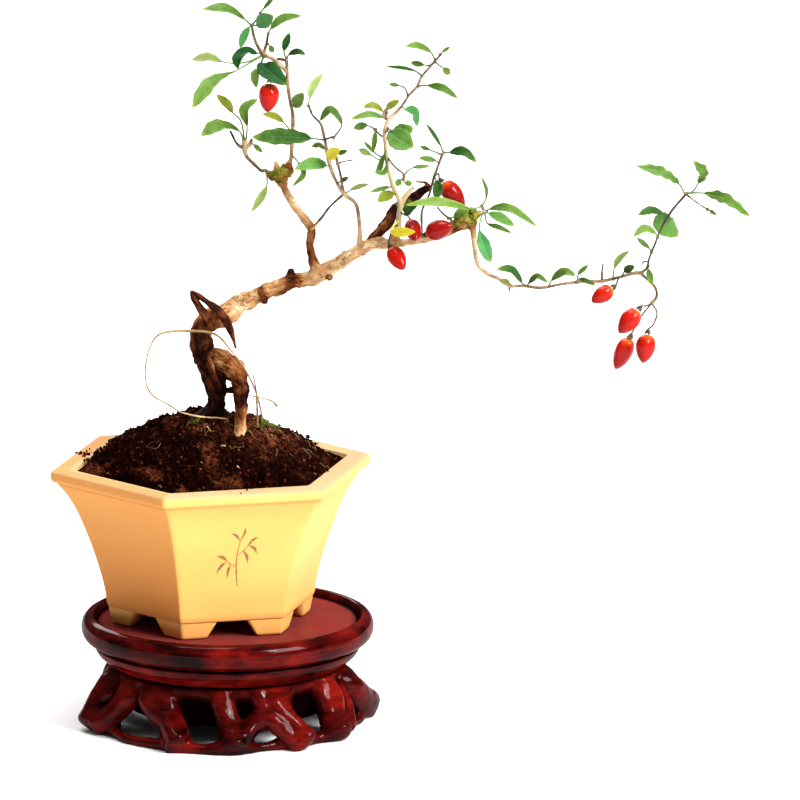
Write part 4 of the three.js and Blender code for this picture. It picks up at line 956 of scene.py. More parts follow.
def make_pot():
    """The pot's wall and its six feet in one piece. Shade is painted on the clay: towards the foot, under
    the lip, along the wall's lower edge, on the feet and on the two left sides, which face away from the
    key light."""
    outline = pot_outline()
    powers = np.where(outline[:, 0] < 20, 2.0, CORNER_POWER)
    angles = pot_angles()
    radius, height = outline.T
    rim = smooth_step(height, 77.2, 79) * smooth_step(radius, 66, 70)
    # Painted shade under the overhang of the lip.
    under_lip = np.exp(-((radius - 79.1) / 0.5) ** 2 - ((height - 73) / 0.5) ** 2)
    skin = Skin()
    hole_corner = DRAIN_HOLE_RADIUS * math.sqrt(2)
    hole = np.array([(hole_corner, POT_FLOOR_TOP), (hole_corner, POT_FOOT_HEIGHT)])
    wall = np.concatenate([pot_rings(outline, powers, angles), pot_rings(hole, (2.0, 2.0), angles)])
    rim = np.concatenate([rim, [0, 0]])
    # Painted shade along the wall's lower edge, over the gaps between the feet.
    base_line = np.exp(-((height - 9.1) / 0.5) ** 2)
    # Painted shade, darker towards the foot.
    low = LOW_TONE * np.clip(1 - height / LOW_TONE_HEIGHT, 0, 1)
    outside = (np.arange(len(radius)) < np.argmax(height)) & (radius > 50)
    side = np.round(angles / (np.pi / 3)) * np.pi / 3
    # Painted shade on the two left sides, which face away from the key light, deeper towards the foot.
    toasted = outside[:, None] * np.clip(-np.sin(side), 0, 1) * (LEFT_TONE + low[:, None])
    shade = np.maximum.reduce([under_lip * 0.5, base_line * 0.6, low])[:, None] + toasted
    shade = np.concatenate([shade, np.zeros((2, len(angles)))])
    skin.loft(on_stand(wall), closed_rows=True, rim=rim[:, None], shade=shade)
    for corner in range(POT_SIDES):
        rings = foot_rings(corner * math.pi / 3)
        # Painted shade on each foot, darker at its sole and where it meets the body.
        stain = np.interp(rings[:, 0, 2] / MM, [0, 1.2, 8.2, 8.8], [0.45, 0.25, 0.22, 0.5])
        skin.loft(on_stand(rings), capped=False, shade=stain[:, None])
    make_piece("clay_pot", welded(skin.mesh("clay_pot")), CLAY, ["pot"])


make_pot()

# %% [markdown]
# The front carries a small brushed ornament in brown. It is drawn as a sprig of bamboo: each
# stroke is a thin, slightly raised ribbon that follows the curve of the wall, wide in the middle
# and fine at its ends, as a loaded brush leaves it.

# %% Brushed sprig
SLIP_HEIGHT = 0.09
# Each stroke is rows of mm to the right of the face's middle, mm above the foot, and half width.
STROKES = [
    [(1.5, 27.5, 0.25), (0.6, 35, 0.42), (0.2, 43, 0.36), (1.4, 52.5, 0.2)],
    [(0.4, 37.5, 0.15), (-2.4, 39.6, 0.3), (-5.2, 41.4, 0.1)],
    [(0.3, 44, 0.15), (3.4, 46.6, 0.28), (6, 49.8, 0.1)],
    [(-5, 41.2, 0.15), (-7.6, 38.6, 0.85), (-9.6, 34.4, 0.1)],
    [(-4.2, 41.3, 0.15), (-7.2, 43.8, 0.9), (-10.2, 44.6, 0.1)],
    [(-2.4, 39.8, 0.15), (-3.6, 36.2, 0.8), (-3.8, 32, 0.1)],
    [(5.8, 49.6, 0.15), (8.6, 48, 0.85), (10.6, 44.6, 0.1)],
    [(5, 48.7, 0.15), (7.8, 52.4, 0.85), (10.6, 54, 0.1)],
    [(3.4, 46.8, 0.15), (5.4, 43.4, 0.8), (6, 39.6, 0.1)],
    [(1.3, 52.3, 0.15), (-1, 55.4, 0.75), (-3.8, 57, 0.1)],
    [(1.4, 52.4, 0.15), (3.2, 56.6, 0.7), (3.4, 60, 0.1)],
]


def brown_slip():
    """Brown iron slip: darker where the brush left more, with dry streaks."""
    s = Shader("brown_slip")
    streaks = s.noise(s.places((1, 1, 0.4)), 1500, detail=3)
    colour = s.ramp(streaks, (0.35, (0.15, 0.06, 0.02)), (0.7, (0.42, 0.20, 0.05)))
    return s.finish(Base_Color=colour, Roughness=0.6, Normal=s.bump(streaks, 0.00005))


def on_front(sideways, height, proud):
    """A place on the pot's front wall, proud of it by that much: the wall's distance from the
    axis is read off its outline at that height."""
    outline = along(POT_OUTSIDE, 200)
    distance = np.interp(height, outline[:, 1], outline[:, 0]) * math.cos(math.pi / 6)
    return on_stand(np.stack([sideways, -(distance + proud), height], axis=-1) * MM)


def make_sprig():
    """Every stroke as a ribbon: half of its section lies proud of the wall, half is sunk in."""
    skin = Skin()
    at = np.linspace(0, 1, 40)
    lanes = circle(10)
    for rows in STROKES:
        line = curve(rows, at)
        heading = unit(np.gradient(line[:, :2], axis=0))
        side = np.stack([-heading[:, 1], heading[:, 0]], axis=-1)
        ragged = 1 + 0.25 * cloud(np.column_stack([line[:, :2] * 1.7, at * 0 + 0.5]))
        half = np.maximum(line[:, 2] * ragged, 0.05)
        flat = line[:, None, :2] + side[:, None] * (half[:, None] * np.cos(lanes))[:, :, None]
        proud = np.sin(lanes)[None, :] * SLIP_HEIGHT * np.ones((len(at), 1))
        skin.loft(on_front(flat[:, :, 0], flat[:, :, 1], proud))
    make_piece("brushed_sprig", skin, brown_slip())


make_sprig()

# %% [markdown]
# ## Soil
#
# The soil is one skin: its sides follow the pot's inner wall, and its top is a mound. Three sizes
# of random cloud are added to the top, for clods, crumbs and grit. Loose crumbs on it and on the
# rim are tiny lofts with a few dozen faces each, scattered by a seeded draw.

# %% Dark soil
SOIL_EDGE_DROP = 1.5
SOIL_RADIUS = 69.6
SOIL_MOUND = 24
SOIL_CORNER_POWER = 60


def dark_soil():
    """Moist red-brown soil: painted shade near black in the hollows, warmer patches and crumbs, painted
    light on a broad place at the right, and a few pale bits of old root.
    """
    s = Shader("dark_soil")
    where = s.places()
    crumb = s.noise(where, 420, detail=5, roughness=0.7)
    clod = s.noise(where, 110, detail=3)
    pale = s.step(s.noise(where, 300, detail=1), 0.72, 0.77)
    earth = s.ramp(
        crumb * 0.6 + clod * 0.4 - s.field("hollow") * 0.2,
        (0.36, (0.002, 0.0005, 0.0004)), (0.52, (0.007, 0.0014, 0.0009)),
        (0.7, (0.036, 0.008, 0.004)),
    )
    warm = s.mix(s.field("warm") * s.step(crumb, 0.38, 0.6), earth, (0.19, 0.046, 0.018))
    flecked = s.mix(pale * 0.4, warm, (0.30, 0.15, 0.07))
    return s.finish(
        Base_Color=flecked,
        Roughness=0.75 + crumb * 0.2,
        Specular_IOR_Level=0.0,
        Normal=s.bump(crumb, 0.0007),
    )


SOIL = dark_soil()


def mound(x, y):
    """Height of the soil over its edge at a place on the pot's own axes, in mm: a dome, highest
    just behind the middle, with long low waves."""
    outward = np.clip(np.hypot(x, y) / SOIL_RADIUS, 0, 1)
    dome = SOIL_MOUND * (1 - outward**2) ** 1.5 * (1 + 0.28 * y / POT_BASE_RADIUS)
    waves = 1.0 * np.sin(0.31 * x + 1) * np.sin(0.27 * y) + 0.2 * np.sin(0.55 * x - 0.43 * y)
    return dome + waves * (1 - outward**4)


def clods(x, y):
    """The broken surface, in mm: clods, crumbs and grit, each finer and lower."""
    spot = np.stack([x, y, 0 * x], axis=-1)
    big = np.abs(cloud(spot / 5.5)) * 2.4 + cloud(spot / 12 + 3) * 1.6
    return big + np.abs(clouds(spot / 2.2 + 9, 2)) * 1.7 + cloud(spot / 0.9) * 0.35 - 1.4


def soil_top(x, y):
    """Height of the finished surface over the pot's foot, in mm."""
    return POT_HEIGHT - SOIL_EDGE_DROP + mound(x, y) + clods(x, y)


# Places round the soil, rings from its middle to its edge, and that edge's corner radius in mm.
SOIL_PLACES = 460
SOIL_RINGS = 150
SOIL_EDGE_RADIUS = 69.4


def make_soil():
    """Rings from the mound's top out to the edge, then down the wall to the floor. Its tone is redder in
    patches, with painted light making a broad place at the right redder, and painted shade in its hollows."""
    angles = np.linspace(0, 2 * np.pi, SOIL_PLACES, endpoint=False)
    reach = six_sided(angles, SOIL_CORNER_POWER) * math.cos(math.pi / 6)
    direction = np.stack([np.cos(angles - np.pi / 2), np.sin(angles - np.pi / 2)], axis=-1)
    share = np.linspace(0.004, 1, SOIL_RINGS) ** 0.9
    flat = share[:, None, None] * SOIL_EDGE_RADIUS * reach[:, None] * direction
    top = soil_top(flat[..., 0], flat[..., 1])
    edge = smooth_step(share, 0.93, 1)[:, None]
    top = top * (1 - edge) + np.minimum(top, POT_HEIGHT - SOIL_EDGE_DROP) * edge
    walls = along([(radius - 0.9, height - 0.3) for radius, height in POT_INSIDE[2:]], 12)
    walls[-1, 1] = POT_FLOOR_TOP + 1.8
    sides = walls[:, 0][:, None, None] * reach[:, None] * direction
    heights = np.concatenate([top, np.repeat(walls[:, 1:], len(angles), axis=1)])
    rings = np.concatenate([np.concatenate([flat, sides]), heights[..., None]], axis=-1)
    skin = Skin()
    # Painted light: a broad place at the front right, where the lamps fall, is made redder and lighter.
    reddish = np.exp(-(((rings[..., 0] - 22) / 20) ** 2) - ((rings[..., 1] + 9) / 18) ** 2)
    warm = np.clip(cloud(rings / 9) - 0.3, 0, 0.5) + reddish * 0.45
    skin.loft(on_stand(rings * MM), warm=warm)
    mesh = skin.mesh("soil_mound")
    # Painted shade in the soil's hollows.
    store_field(mesh, "hollow", smooth_step(hollowness(mesh, rounds=6), -0.3, 0.5))
    make_piece("soil_mound", mesh, SOIL, ["soil"])


make_soil()

# %% Loose crumbs
CRUMB_COUNT = 900
CRUMB_REACH = 62
# Where crumbs have spilled on the rim: (u, v) on the front drawing, with how many.
RIM_SPILLS = [((88, 455), 16), ((300, 438), 20), ((104, 449), 8), ((286, 433), 8), ((120, 447), 6)]


def crumb(middle, size, draw):
    """A rough little lump: a few rings of a ball, each point pushed in or out at random."""
    round_one = ball(4, 6, margin=0.35)
    rough = 1 + draw.uniform(-0.3, 0.3, round_one.shape[:2])[..., None]
    return middle + round_one * rough * size * draw.uniform(0.6, 1.2, 3)


def make_crumbs():
    """Crumbs all over the mound, and a few on the rim."""
    draw = np.random.default_rng(5)
    skin = Skin()
    for _ in range(CRUMB_COUNT):
        angle = draw.uniform(0, 2 * math.pi)
        reach = CRUMB_REACH * math.sqrt(draw.uniform()) * six_sided(angle, SOIL_CORNER_POWER)
        x, y = reach * math.cos(angle), reach * math.sin(angle)
        size = draw.uniform(0.35, 1.3) * draw.uniform(0.5, 1)
        height = soil_top(x, y) + size * 0.25
        lump = crumb(np.array([x, y, height]), size, draw)
        skin.loft(on_stand(lump * MM), warm=draw.uniform(0, 0.45))
    rim_height = POT_HEIGHT * MM + POT_BASE
    for (u, v), count in RIM_SPILLS:
        near, far = place([(u, v, -90), (u, v, 90)])
        share = (rim_height - near[2]) / (far[2] - near[2])
        spot = near + (far - near) * share
        for _ in range(count):
            size = draw.uniform(0.3, 0.9) * MM
            middle = spot + [draw.normal(0, 0.0028), draw.normal(0, 0.0016), size * 0.5]
            skin.loft(crumb(middle, size, draw), warm=draw.uniform(0, 0.3))
    make_piece("soil_crumbs", skin, SOIL)


make_crumbs()

# %% [markdown]
# ## Trunk and branch
#
# Old goji wood is gnarled: limbs flow into each other, the bark flakes in long ridges, and the
# colour runs from nearly black at the foot to pale tan along the branch. The limbs are tubes on
# the same lines as the solid, melted together. Each point of the melted skin then looks up the
# nearest limb, to know which way the grain runs and how pale the bark is there.

# %% Lines of the wood
# Rows of (u, v, depth, radius in mm).
TRUNK_LINE = [
    (214, 440, 9, 3.2), (213, 424, 8, 4.6), (217, 406, 7, 4), (216, 390, 6, 4.6),
    (209, 366, 5, 5.2), (203, 346, 4, 5.2), (202, 331, 4, 5.8), (210, 320, 5, 5.6),
    (226, 314, 6, 4.7), (240, 305, 7, 4.3), (256, 296, 8, 4.2), (272, 289, 8, 3.9),
    (290, 282, 8, 3.9), (305, 280, 8, 3.5), (319, 273, 7, 3.7), (340, 263, 5, 3.3),
    (360, 250, 3, 3.1), (376, 243, 1, 3), (390, 244, -2, 2.1), (406, 243, -4, 1.8),
    (421, 240.5, -6, 1.6), (438, 237, -8, 1.5), (453, 231, -9, 1.6), (465, 226, -10, 1.9),
    (474, 225, -10, 1.8),
]
RIGHT_ROOT = [
    (206, 354, 4, 4), (221, 360, 2, 5), (235, 370, 0, 4.9), (241, 385, -1, 4), (240.5, 402, -2, 3.2),
    (240.5, 420, -4, 3.1), (240, 440, -6, 3.2), (238, 458, -8, 2.6),
]
CROWN_STEM = [
    (318, 274, 7, 3.2), (312.5, 258, 8, 2.2), (310, 244, 9, 2), (311.5, 229, 10, 2),
    (304, 218, 10.5, 2), (293, 204, 11, 1.8), (285, 189, 12, 1.8), (281, 179, 12, 2.2),
]
DARK_LIMB = [
    (362, 251, 2.5, 2.2), (385, 226, 2, 3), (397, 210, 3, 2.9), (414, 198, 4, 2.6), (429, 187, 5, 1.6),
]
GRAFTS = {
    "crown_left": [(277, 178, 12), (269, 173, 12), 1.1],
    "crown_top": [(288, 171, 12), (290.5, 161, 12), 1.2],
    "middle": [(360, 248, 3), (360, 236, 2), 1.2],
    "middle_brace": [(310, 231, 9.5), (319, 221, 8), 0.8],
    "right": [(394, 243, -2), (397.5, 229, -4.5), 1.7],
    "right_twig": [(421, 240.5, -6), (421.5, 231, -6), 0.7],
    "cascade": [(472, 225, -10), (473.5, 238, -11), 1.5],
    "node": [(474, 216, -10), (480.5, 214, -10), 1.2],
    "spur": [(455, 230, -9), (452, 223.5, -9.6), 0.9],
}

# %% Limbs and their tones
# Each limb is its rows, how lumpy it is, and its paleness from its first point to its last.
LIMBS = [
    (TRUNK_LINE, 0.09, [0.0, 0.0, 0.02, 0.08, 0.16, 0.2, 0.32, 0.5, 0.75, 0.88, 0.8, 0.6, 0.28, 0.7,
                        0.85, 0.9, 0.95, 0.92, 0.9, 0.85, 0.85, 0.8, 0.65, 0.55, 0.5]),
    (RIGHT_ROOT, 0.08, [0.35, 0.56, 0.48, 0.1, 0.12, 0.6, 1.15, 1.1]),
    ([(215, 402, 6, 3), (207, 411, 4, 2.6), (197, 418, 1, 2), (186, 428, -3, 1.4)], 0.05,
     [0.0, 0.02, 0.1, 0.2]),
    (DARK_LIMB, 0.05, [0.5, 0.25, 0.12, 0.12, 0.2]),
    (CROWN_STEM, 0.05, [0.75, 0.4, 0.38, 0.45, 0.85, 0.95, 0.9, 0.5]),
    ([(211, 370, 4, 4), (224, 374, 2, 2.8), (237, 376, -1, 3.2)], 0.04, [0.2, 0.2, 0.2]),
    ([(215, 390, 5, 3), (227, 390.5, 2, 1.2), (239, 389, -1, 2.4)], 0.04, [0.1, 0.1, 0.2]),
    ([(206, 352, -1, 1.4), (211, 366, -1, 1.8), (215, 380, 1, 1.6), (220, 389, 3, 1.4)], 0.05,
     [0.15, 0.2, 0.12, 0.08]),
    ([(192, 291.5, -5, 0.7), (199, 296, -5.5, 1.4), (209, 303, -6, 1.5), (219, 311, -5, 1.9),
      (227.5, 323, -3.5, 2), (233, 336, -3, 1.3), (236, 348, -3, 0.6)], 0.06,
     [0.25, 0.2, 0.2, 0.25, 0.25, 0.2, 0.15]),
    ([(191.5, 291.5, -5, 0.7), (195, 299, -5, 1.8), (202, 310, -4, 1.9), (208, 319, -2, 2.2),
      (210, 325, 1, 3)], 0.06, [0.2, 0.2, 0.25, 0.3, 0.3]),
    ([(217, 312, -4, 2), (214, 318, -1, 2.6), (213, 323, 3, 3)], 0.05, [0.3, 0.4, 0.4]),
    ([(290, 282, 8, 3), (291, 270.5, 8, 1.7)], 0.05, [0.32, 0.3]),
    ([(342, 263, 5, 3), (345.5, 253, 5, 1.5)], 0.05, [0.5, 0.2]),
    ([(262, 293, 7, 3), (265, 302, 6, 1.6)], 0.05, [0.45, 0.2]),
    ([(327, 270, 6, 3), (330, 279, 6, 1.5)], 0.05, [0.6, 0.3]),
    ([(424, 190, 4.6, 0.9), (427, 184, 4.6, 0.8), (416, 182, 4.6, 0.6)], 0.05, [0.3, 0.4, 0.5]),
    ([(470, 228, -10, 1.8), (474.5, 216, -10, 1.9), (470, 209.5, -9, 1.1)], 0.08, [0.5, 0.6, 0.7]),
    ([(456, 223, -10, 1.3), (464, 219, -10, 2.4), (472, 221, -10, 2.2)], 0.15, [0.5, 0.7, 0.6]),
    ([(271, 178, 12, 1.8), (276, 175, 11, 2.6), (283, 174, 10, 3.2), (290, 168, 11, 2.4)], 0.15,
     [0.5, 0.5, 0.5, 0.5]),
    ([(280, 178, 11, 1.4), (278, 171, 9, 1.2), (276.5, 163, 8, 0.9)], 0.05, [0.5, 0.6, 0.75]),
]
BARK_VOXEL = 0.385
# Places on the front drawing where the bark is grown over green: (u, v, depth, reach in mm).
MOSSY = [(281, 174, 11, 8), (470, 217, -10, 6), (458, 220, -9, 5), (404, 203, 3, 5)]


def graft_limb(name):
    """The short stub of wood that a leafy stem grows on from."""
    start, end, radius = GRAFTS[name]
    return [(*start, radius * 1.3), (*end, radius)]


ALL_LIMBS = LIMBS + [(graft_limb(name), 0.04, [0.7, 0.7]) for name in GRAFTS]
LOOKED_UP_AT_ONCE = 4000


def limb_samples():
    """For every limb, closely set points on its line with heading, side, radius, the way along in
    metres and paleness, all in one array each, for the melted skin to look up."""
    gathered = []
    for number, (rows, _, tones) in enumerate(ALL_LIMBS):
        spans = len(rows) - 1
        at = np.linspace(0, 1, spans * 12 + 1)
        points = place(rows)
        middles = curve(points, at)
        headings = headings_at(points, at)
        across, _ = carried(headings)
        steps = np.linalg.norm(np.diff(middles, axis=0), axis=1)
        way = np.concatenate([[0], np.cumsum(steps)]) + number * 0.31
        grid = np.arange(spans + 1)
        radius = np.interp(at * spans, grid, last(rows) * MM)
        paleness = np.interp(at * spans, grid, tones)
        gathered.append(np.column_stack([middles, headings, across, radius, way, paleness]))
    return np.concatenate(gathered)


def nearest_limb(points):
    """For each point the sample whose bark lies nearest: distance to its middle less its radius."""
    samples = limb_samples()
    nearest = np.empty(len(points), int)
    for start in range(0, len(points), LOOKED_UP_AT_ONCE):
        some = slice(start, start + LOOKED_UP_AT_ONCE)
        far = np.linalg.norm(points[some, None] - samples[None, :, :3], axis=-1) - samples[:, 9]
        nearest[some] = far.argmin(axis=1)
    return samples[nearest]


def bark_places(points, found):
    """Places to read noise at, so that it runs with the grain: the way along the limb is squeezed
    and the two directions across it are kept."""
    off = points - found[:, :3]
    across = found[:, 6:9]
    beside = np.cross(found[:, 3:6], across)
    a = np.einsum("ij,ij->i", off, across)
    b = np.einsum("ij,ij->i", off, beside)
    way = found[:, 10] + np.einsum("ij,ij->i", off, found[:, 3:6])
    return np.stack([a, b, way], axis=-1)


# %% Bark
def rough_bark():
    """Flaking bark: dark brown where it is old, tan where it is young, black in the cracks and, as painted
    shade, in the creases, and yellow-green where moss has taken hold. Its noise is read along the grain."""
    s = Shader("rough_bark")
    grain = s.field("grain", "Vector")
    stretched = s.node("ShaderNodeMapping", {"Vector": grain, "Scale": (1, 1, 0.25)})
    ridges = s.noise(stretched, 900, detail=5, roughness=0.6)
    flakes = s.noise(stretched, 260, detail=3)
    speckle = s.noise(s.places(), 1500, detail=2)
    pale = s.field("pale")
    patches = s.noise(grain, 150, detail=2)
    tone = pale + (flakes - 0.5) * 0.7 + (ridges - 0.5) * 0.35 + (patches - 0.5) * 0.9
    bark = s.ramp(
        tone,
        (0.0, (0.006, 0.001, 0.0006)), (0.2, (0.03, 0.006, 0.003)), (0.42, (0.14, 0.038, 0.010)),
        (0.66, (0.35, 0.165, 0.06)), (0.93, (0.57, 0.355, 0.18)), (1.0, (0.72, 0.50, 0.27)),
    )
    cracked = s.mix(s.field("crack") * 0.8, bark, (0.010, 0.003, 0.0015))
    moss = s.ramp(speckle, (0.35, (0.05, 0.06, 0.006)), (0.65, (0.28, 0.30, 0.035)))
    grown = s.mix(s.field("moss") * s.step(flakes, 0.3, 0.55), cracked, moss)
    return s.finish(
        Base_Color=grown,
        Roughness=0.55 + ridges * 0.35,
        Specular_IOR_Level=0.02,
        Coat_Weight=s.step(0 - pale, -0.5, -0.15) * 0.04,
        Coat_Roughness=0.2,
        Coat_IOR=1.38,
        Normal=s.bump(ridges + speckle * 0.3, 0.0005),
    )


BARK = rough_bark()


def make_trunk():
    """The melted limbs, with ridges and cracks pressed into the skin along the grain."""
    skin = Skin()
    for number, (rows, lumps, _) in enumerate(ALL_LIMBS):
        radii = last(rows) * MM
        rings = tube(place(rows), radii, sides=16, per_span=7, lumps=lumps, phase=number)
        skin.loft(rounded_ends(rings, radii[[0, -1]] * 0.6))
    mesh = melted(skin, "gnarled_trunk", BARK_VOXEL * MM, smoothing=5)
    points = points_of(mesh)
    found = nearest_limb(points)
    grain = bark_places(points, found)
    squeezed = grain / MM * [1, 1, 0.22]
    thick = np.clip(found[:, 9] / (4 * MM), 0.25, 1.3)
    bend = clouds(grain / MM / 3.1 + 2, 1)[:, None] * [0.9, 0.9, 0.25]
    ridge = np.abs(clouds(squeezed / 1.15 + bend, 2))
    lump = clouds(grain / MM / 3.8 + 5, 2)
    crack = smooth_step(0.14 - ridge, 0, 0.12) * smooth_step(cloud(grain / MM / 5 + 1), -0.3, 0.3)
    moss = np.zeros(len(points))
    for row in MOSSY:
        reach = np.linalg.norm(points - place([row]), axis=1) / (row[3] * MM)
        moss = np.maximum(moss, 1 - smooth_step(reach, 0.5, 1))
    cushion = np.abs(clouds(points / (1.7 * MM), 2)) * moss
    relief = (0.5 * ridge - 0.4 * crack + 0.75 * lump) * thick + 1.6 * cushion
    move_points(mesh, points + normals_of(mesh) * relief[:, None] * MM)
    # Painted shade: creases between the limbs are made less pale and nearly black.
    crease = smooth_step(hollowness(mesh, rounds=10), 0.03, 0.4)
    store_field(mesh, "pale", found[:, 11] - 0.25 * crease)
    store_field(mesh, "crack", np.maximum(crack * 0.8, crease * 0.6))
    store_field(mesh, "moss", moss)
    attribute = mesh.attributes.new("grain", "FLOAT_VECTOR", "POINT")
    attribute.data.foreach_set("vector", grain.astype(np.float32).ravel())
    make_piece("gnarled_trunk", mesh, BARK, ["trunk"])


make_trunk()

# %% [markdown]
# A dry root strand loops out of the trunk, and a dry sprig stands beside it. They are plain
# tubes, a little uneven, with straw-coloured skin.

# %% Dry strands
STRAND = [
    (232, 430, 0, 0.4), (228, 420, 0.3, 0.4), (219, 418, 0, 0.4), (209, 417.5, -1, 0.4),
    (199, 416.5, -2, 0.4), (190, 414.5, -4, 0.4), (181, 412, -6, 0.4), (168, 404, -9, 0.4),
    (154, 396, -9, 0.4), (148, 387, -9, 0.38), (146, 368, -8, 0.38), (152, 344, -7, 0.4),
    (160, 334.5, -6, 0.5), (188, 331, -4, 0.6), (216, 334.5, -5, 0.6), (231, 350, -8.5, 0.4),
    (242, 364, -7, 0.38), (249, 376, -2.5, 0.38), (256, 392, 3, 0.4), (261, 412, 6, 0.4),
    (261.5, 424, 7, 0.4), (261.5, 436, 8, 0.4),
]
SPRIG = [
    (253, 374, -1, 0.3), (256, 389, 0, 0.4), (257, 403, 0, 0.45), (257.5, 416, 1, 0.5),
    (257.5, 440, 1, 0.5),
]
SPRIG_TWIG = [(249.5, 395.5, -1, 0.3), (257, 397, 0, 0.35), (272, 401, 1, 0.35), (277, 405.5, 1, 0.6)]


def dry_skin():
    """Straw-coloured root skin with long darker streaks, browner where it has lain in soil."""
    s = Shader("dry_skin")
    cloudy = s.noise(s.places(), 160, detail=3)
    fine = s.noise(s.places(), 1400, detail=3)
    colour = s.ramp(
        cloudy * 0.7 + fine * 0.3,
        (0.34, (0.18, 0.085, 0.03)), (0.5, (0.44, 0.28, 0.11)), (0.68, (0.66, 0.49, 0.25)),
    )
    stained = s.mix(s.field("brown"), colour, (0.085, 0.03, 0.012))
    bumpy = s.bump(fine + cloudy, 0.0002)
    return s.finish(Base_Color=stained, Roughness=0.62, Specular_IOR_Level=0.1, Normal=bumpy)


DRY_SKIN = dry_skin()


def uneven(rings, size, height):
    """Rings pushed in and out of themselves by a cloud of that size, by up to that height."""
    middles = rings.mean(axis=1, keepdims=True)
    out = unit(rings - middles)
    return rings + out * (clouds(rings / size, 2) * height)[..., None]


def make_strands():
    """The strand, browner towards its far end, and the sprig, which is brown all over."""
    strand = Skin()
    rings = tube(place(STRAND), last(STRAND) * MM, sides=14, per_span=14, lumps=0.06)
    rings = rounded_ends(uneven(rings, 1.6 * MM, 0.12 * MM), last(STRAND)[[0, -1]] * MM)
    way = np.arange(len(rings))[:, None] / len(rings)
    strand.loft(rings, brown=np.interp(way, [0.3, 0.6], [0.15, 0.5]))
    make_piece("root_loop", strand, DRY_SKIN, ["root_strand"])
    sprig = Skin()
    for rows in (SPRIG, SPRIG_TWIG):
        rings = tube(place(rows), last(rows) * MM, sides=12, per_span=16, lumps=0.08)
        rings = rounded_ends(uneven(rings, 1.4 * MM, 0.12 * MM), last(rows)[[0, -1]] * MM)
        sprig.loft(rings, brown=0.6)
    make_piece("dry_twiglet", sprig, DRY_SKIN, ["dry_sprig"])


make_strands()

# %% [markdown]
# Old soil is never bare. Hair-thin dead roots lie on it, mostly to the right of the trunk. Such a
# root is a tube whose points take their height from the soil, so it lies on every bump.

# %% Dead roots on the soil
LITTER_COUNT = 110
# Where the roots lie thickest on the pot's own axes, how far they scatter and reach, in mm.
LITTER_MIDDLE = [18, -4]
LITTER_SPREAD = [17, 14]
LITTER_REACH = 58
# Pale bits that stand out on the front of the mound: (u, v) on the front drawing.
PALE_BITS = [(211, 431), (238, 466), (226, 446)]


def soil_under(u, v):
    """Where the line of sight through that place on the front drawing first meets the soil, in mm
    about the pot's own axis."""
    depths = np.linspace(-75, 60, 1200)
    sight = place(np.column_stack([np.full((len(depths), 2), (u, v)), depths]))
    spots = (sight - [*POT_AXIS, POT_BASE]) @ POT_TURNED.T / MM
    under = spots[:, 2] < soil_top(spots[:, 0], spots[:, 1])
    return spots[np.argmax(under & (np.hypot(spots[:, 0], spots[:, 1]) < CRUMB_REACH))]


def lying_root(x, y, length, radius, draw):
    """A short bent tube that follows the top of the soil, mostly down the slope."""
    steps = 6
    turn = math.atan2(y, x) + np.cumsum(draw.normal(0, 0.45, steps))
    x = x + np.cumsum(np.cos(turn)) * length / steps
    y = y + np.cumsum(np.sin(turn)) * length / steps
    points = on_stand(np.stack([x, y, soil_top(x, y) + radius], axis=-1) * MM)
    radii = np.linspace(radius, radius * 0.4, steps) * MM
    rings = tube(points, radii, sides=5, per_span=3, lumps=0.1)
    return rounded_ends(rings, np.array([0.2, 0.1]) * MM)


def make_litter():
    """Dead roots scattered about a spot to the right of the trunk, and the pale bits in front."""
    draw = np.random.default_rng(11)
    skin = Skin()
    for _ in range(LITTER_COUNT):
        x, y = draw.normal(LITTER_MIDDLE, LITTER_SPREAD)
        if six_sided(math.atan2(y, x), SOIL_CORNER_POWER) * LITTER_REACH > math.hypot(x, y):
            root = lying_root(x, y, draw.uniform(3, 12), draw.uniform(0.12, 0.4), draw)
            skin.loft(root, brown=draw.uniform(0.7, 1))
    for u, v in PALE_BITS:
        x, y, _ = soil_under(u, v)
        skin.loft(lying_root(x, y, 3, 0.5, draw), brown=0.1)
    make_piece("dead_roots", skin, DRY_SKIN)


make_litter()

# %% [markdown]
# ## Leafy stems
#
# Goji stems are thin canes with a swelling wherever a leaf or a berry stalk leaves them. The
# leaves are lance-shaped and soft: each blade is a thin solid, folded a little along its midrib
# and waved along its edges. A blade is a loft as well. Its rings are slices across the leaf, each
# running over the upper face and back along the under face.

# %% Kinds of leaf
# Lightness, goldenness and coolness, from 0 to 1: young leaves are pale, old ones turn olive or yellow,
# and some broad ones are a cool jade green. The lightness is partly the leaf's own tone and partly painted
# light and shade for how lit that leaf is.
LEAF_LOOKS = {
    "deep": (0.02, 0.0, 0.04), "dark": (0.2, 0.0, 0.0), "green": (0.33, 0.02, 0.0),
    "mid": (0.45, 0.02, 0.0), "bright": (0.68, 0.03, 0.0), "pale": (0.9, 0.05, 0.0),
    "fresh": (0.56, 0.0, 0.12), "olive": (0.22, 0.15, 0.0), "yellow": (0.9, 0.95, 0.0),
    "jade": (0.6, 0.0, 0.6),
}


@dataclass
class Leaf:
    """A leaf on the front drawing: the points of its stalk and of its midrib, its width in mm and
    its look. It is rolled about its midrib and folded along it by degrees, and waved by mm. It is
    widest at that share of its length."""

    stalk: list
    rib: list
    wide: float
    look: str = "mid"
    roll: float = 0.0
    fold: float = 9.0
    wave: float = 0.25
    widest_at: float = 0.5


def broad(*parts, fold=12.0, wave=0.5, **more):
    """A fuller leaf, more folded and waved than the rest."""
    return Leaf(*parts, fold=fold, wave=wave, **more)


# %% [markdown]
# A leaf isn't one green. The midrib is pale, side veins run from it at a slant, the blade is
# lighter near its stalk and along a thin edge, and the under face is paler and duller. The mesh
# stores where each point lies on its blade, so the veins are drawn from two numbers: how far
# along the blade and how far out from the midrib.

# %% Leaf and cane material
# Radians of vein wave along the blade, and how far along it a vein runs on its way out.
VEINS = 62
VEIN_SLANT = 0.16


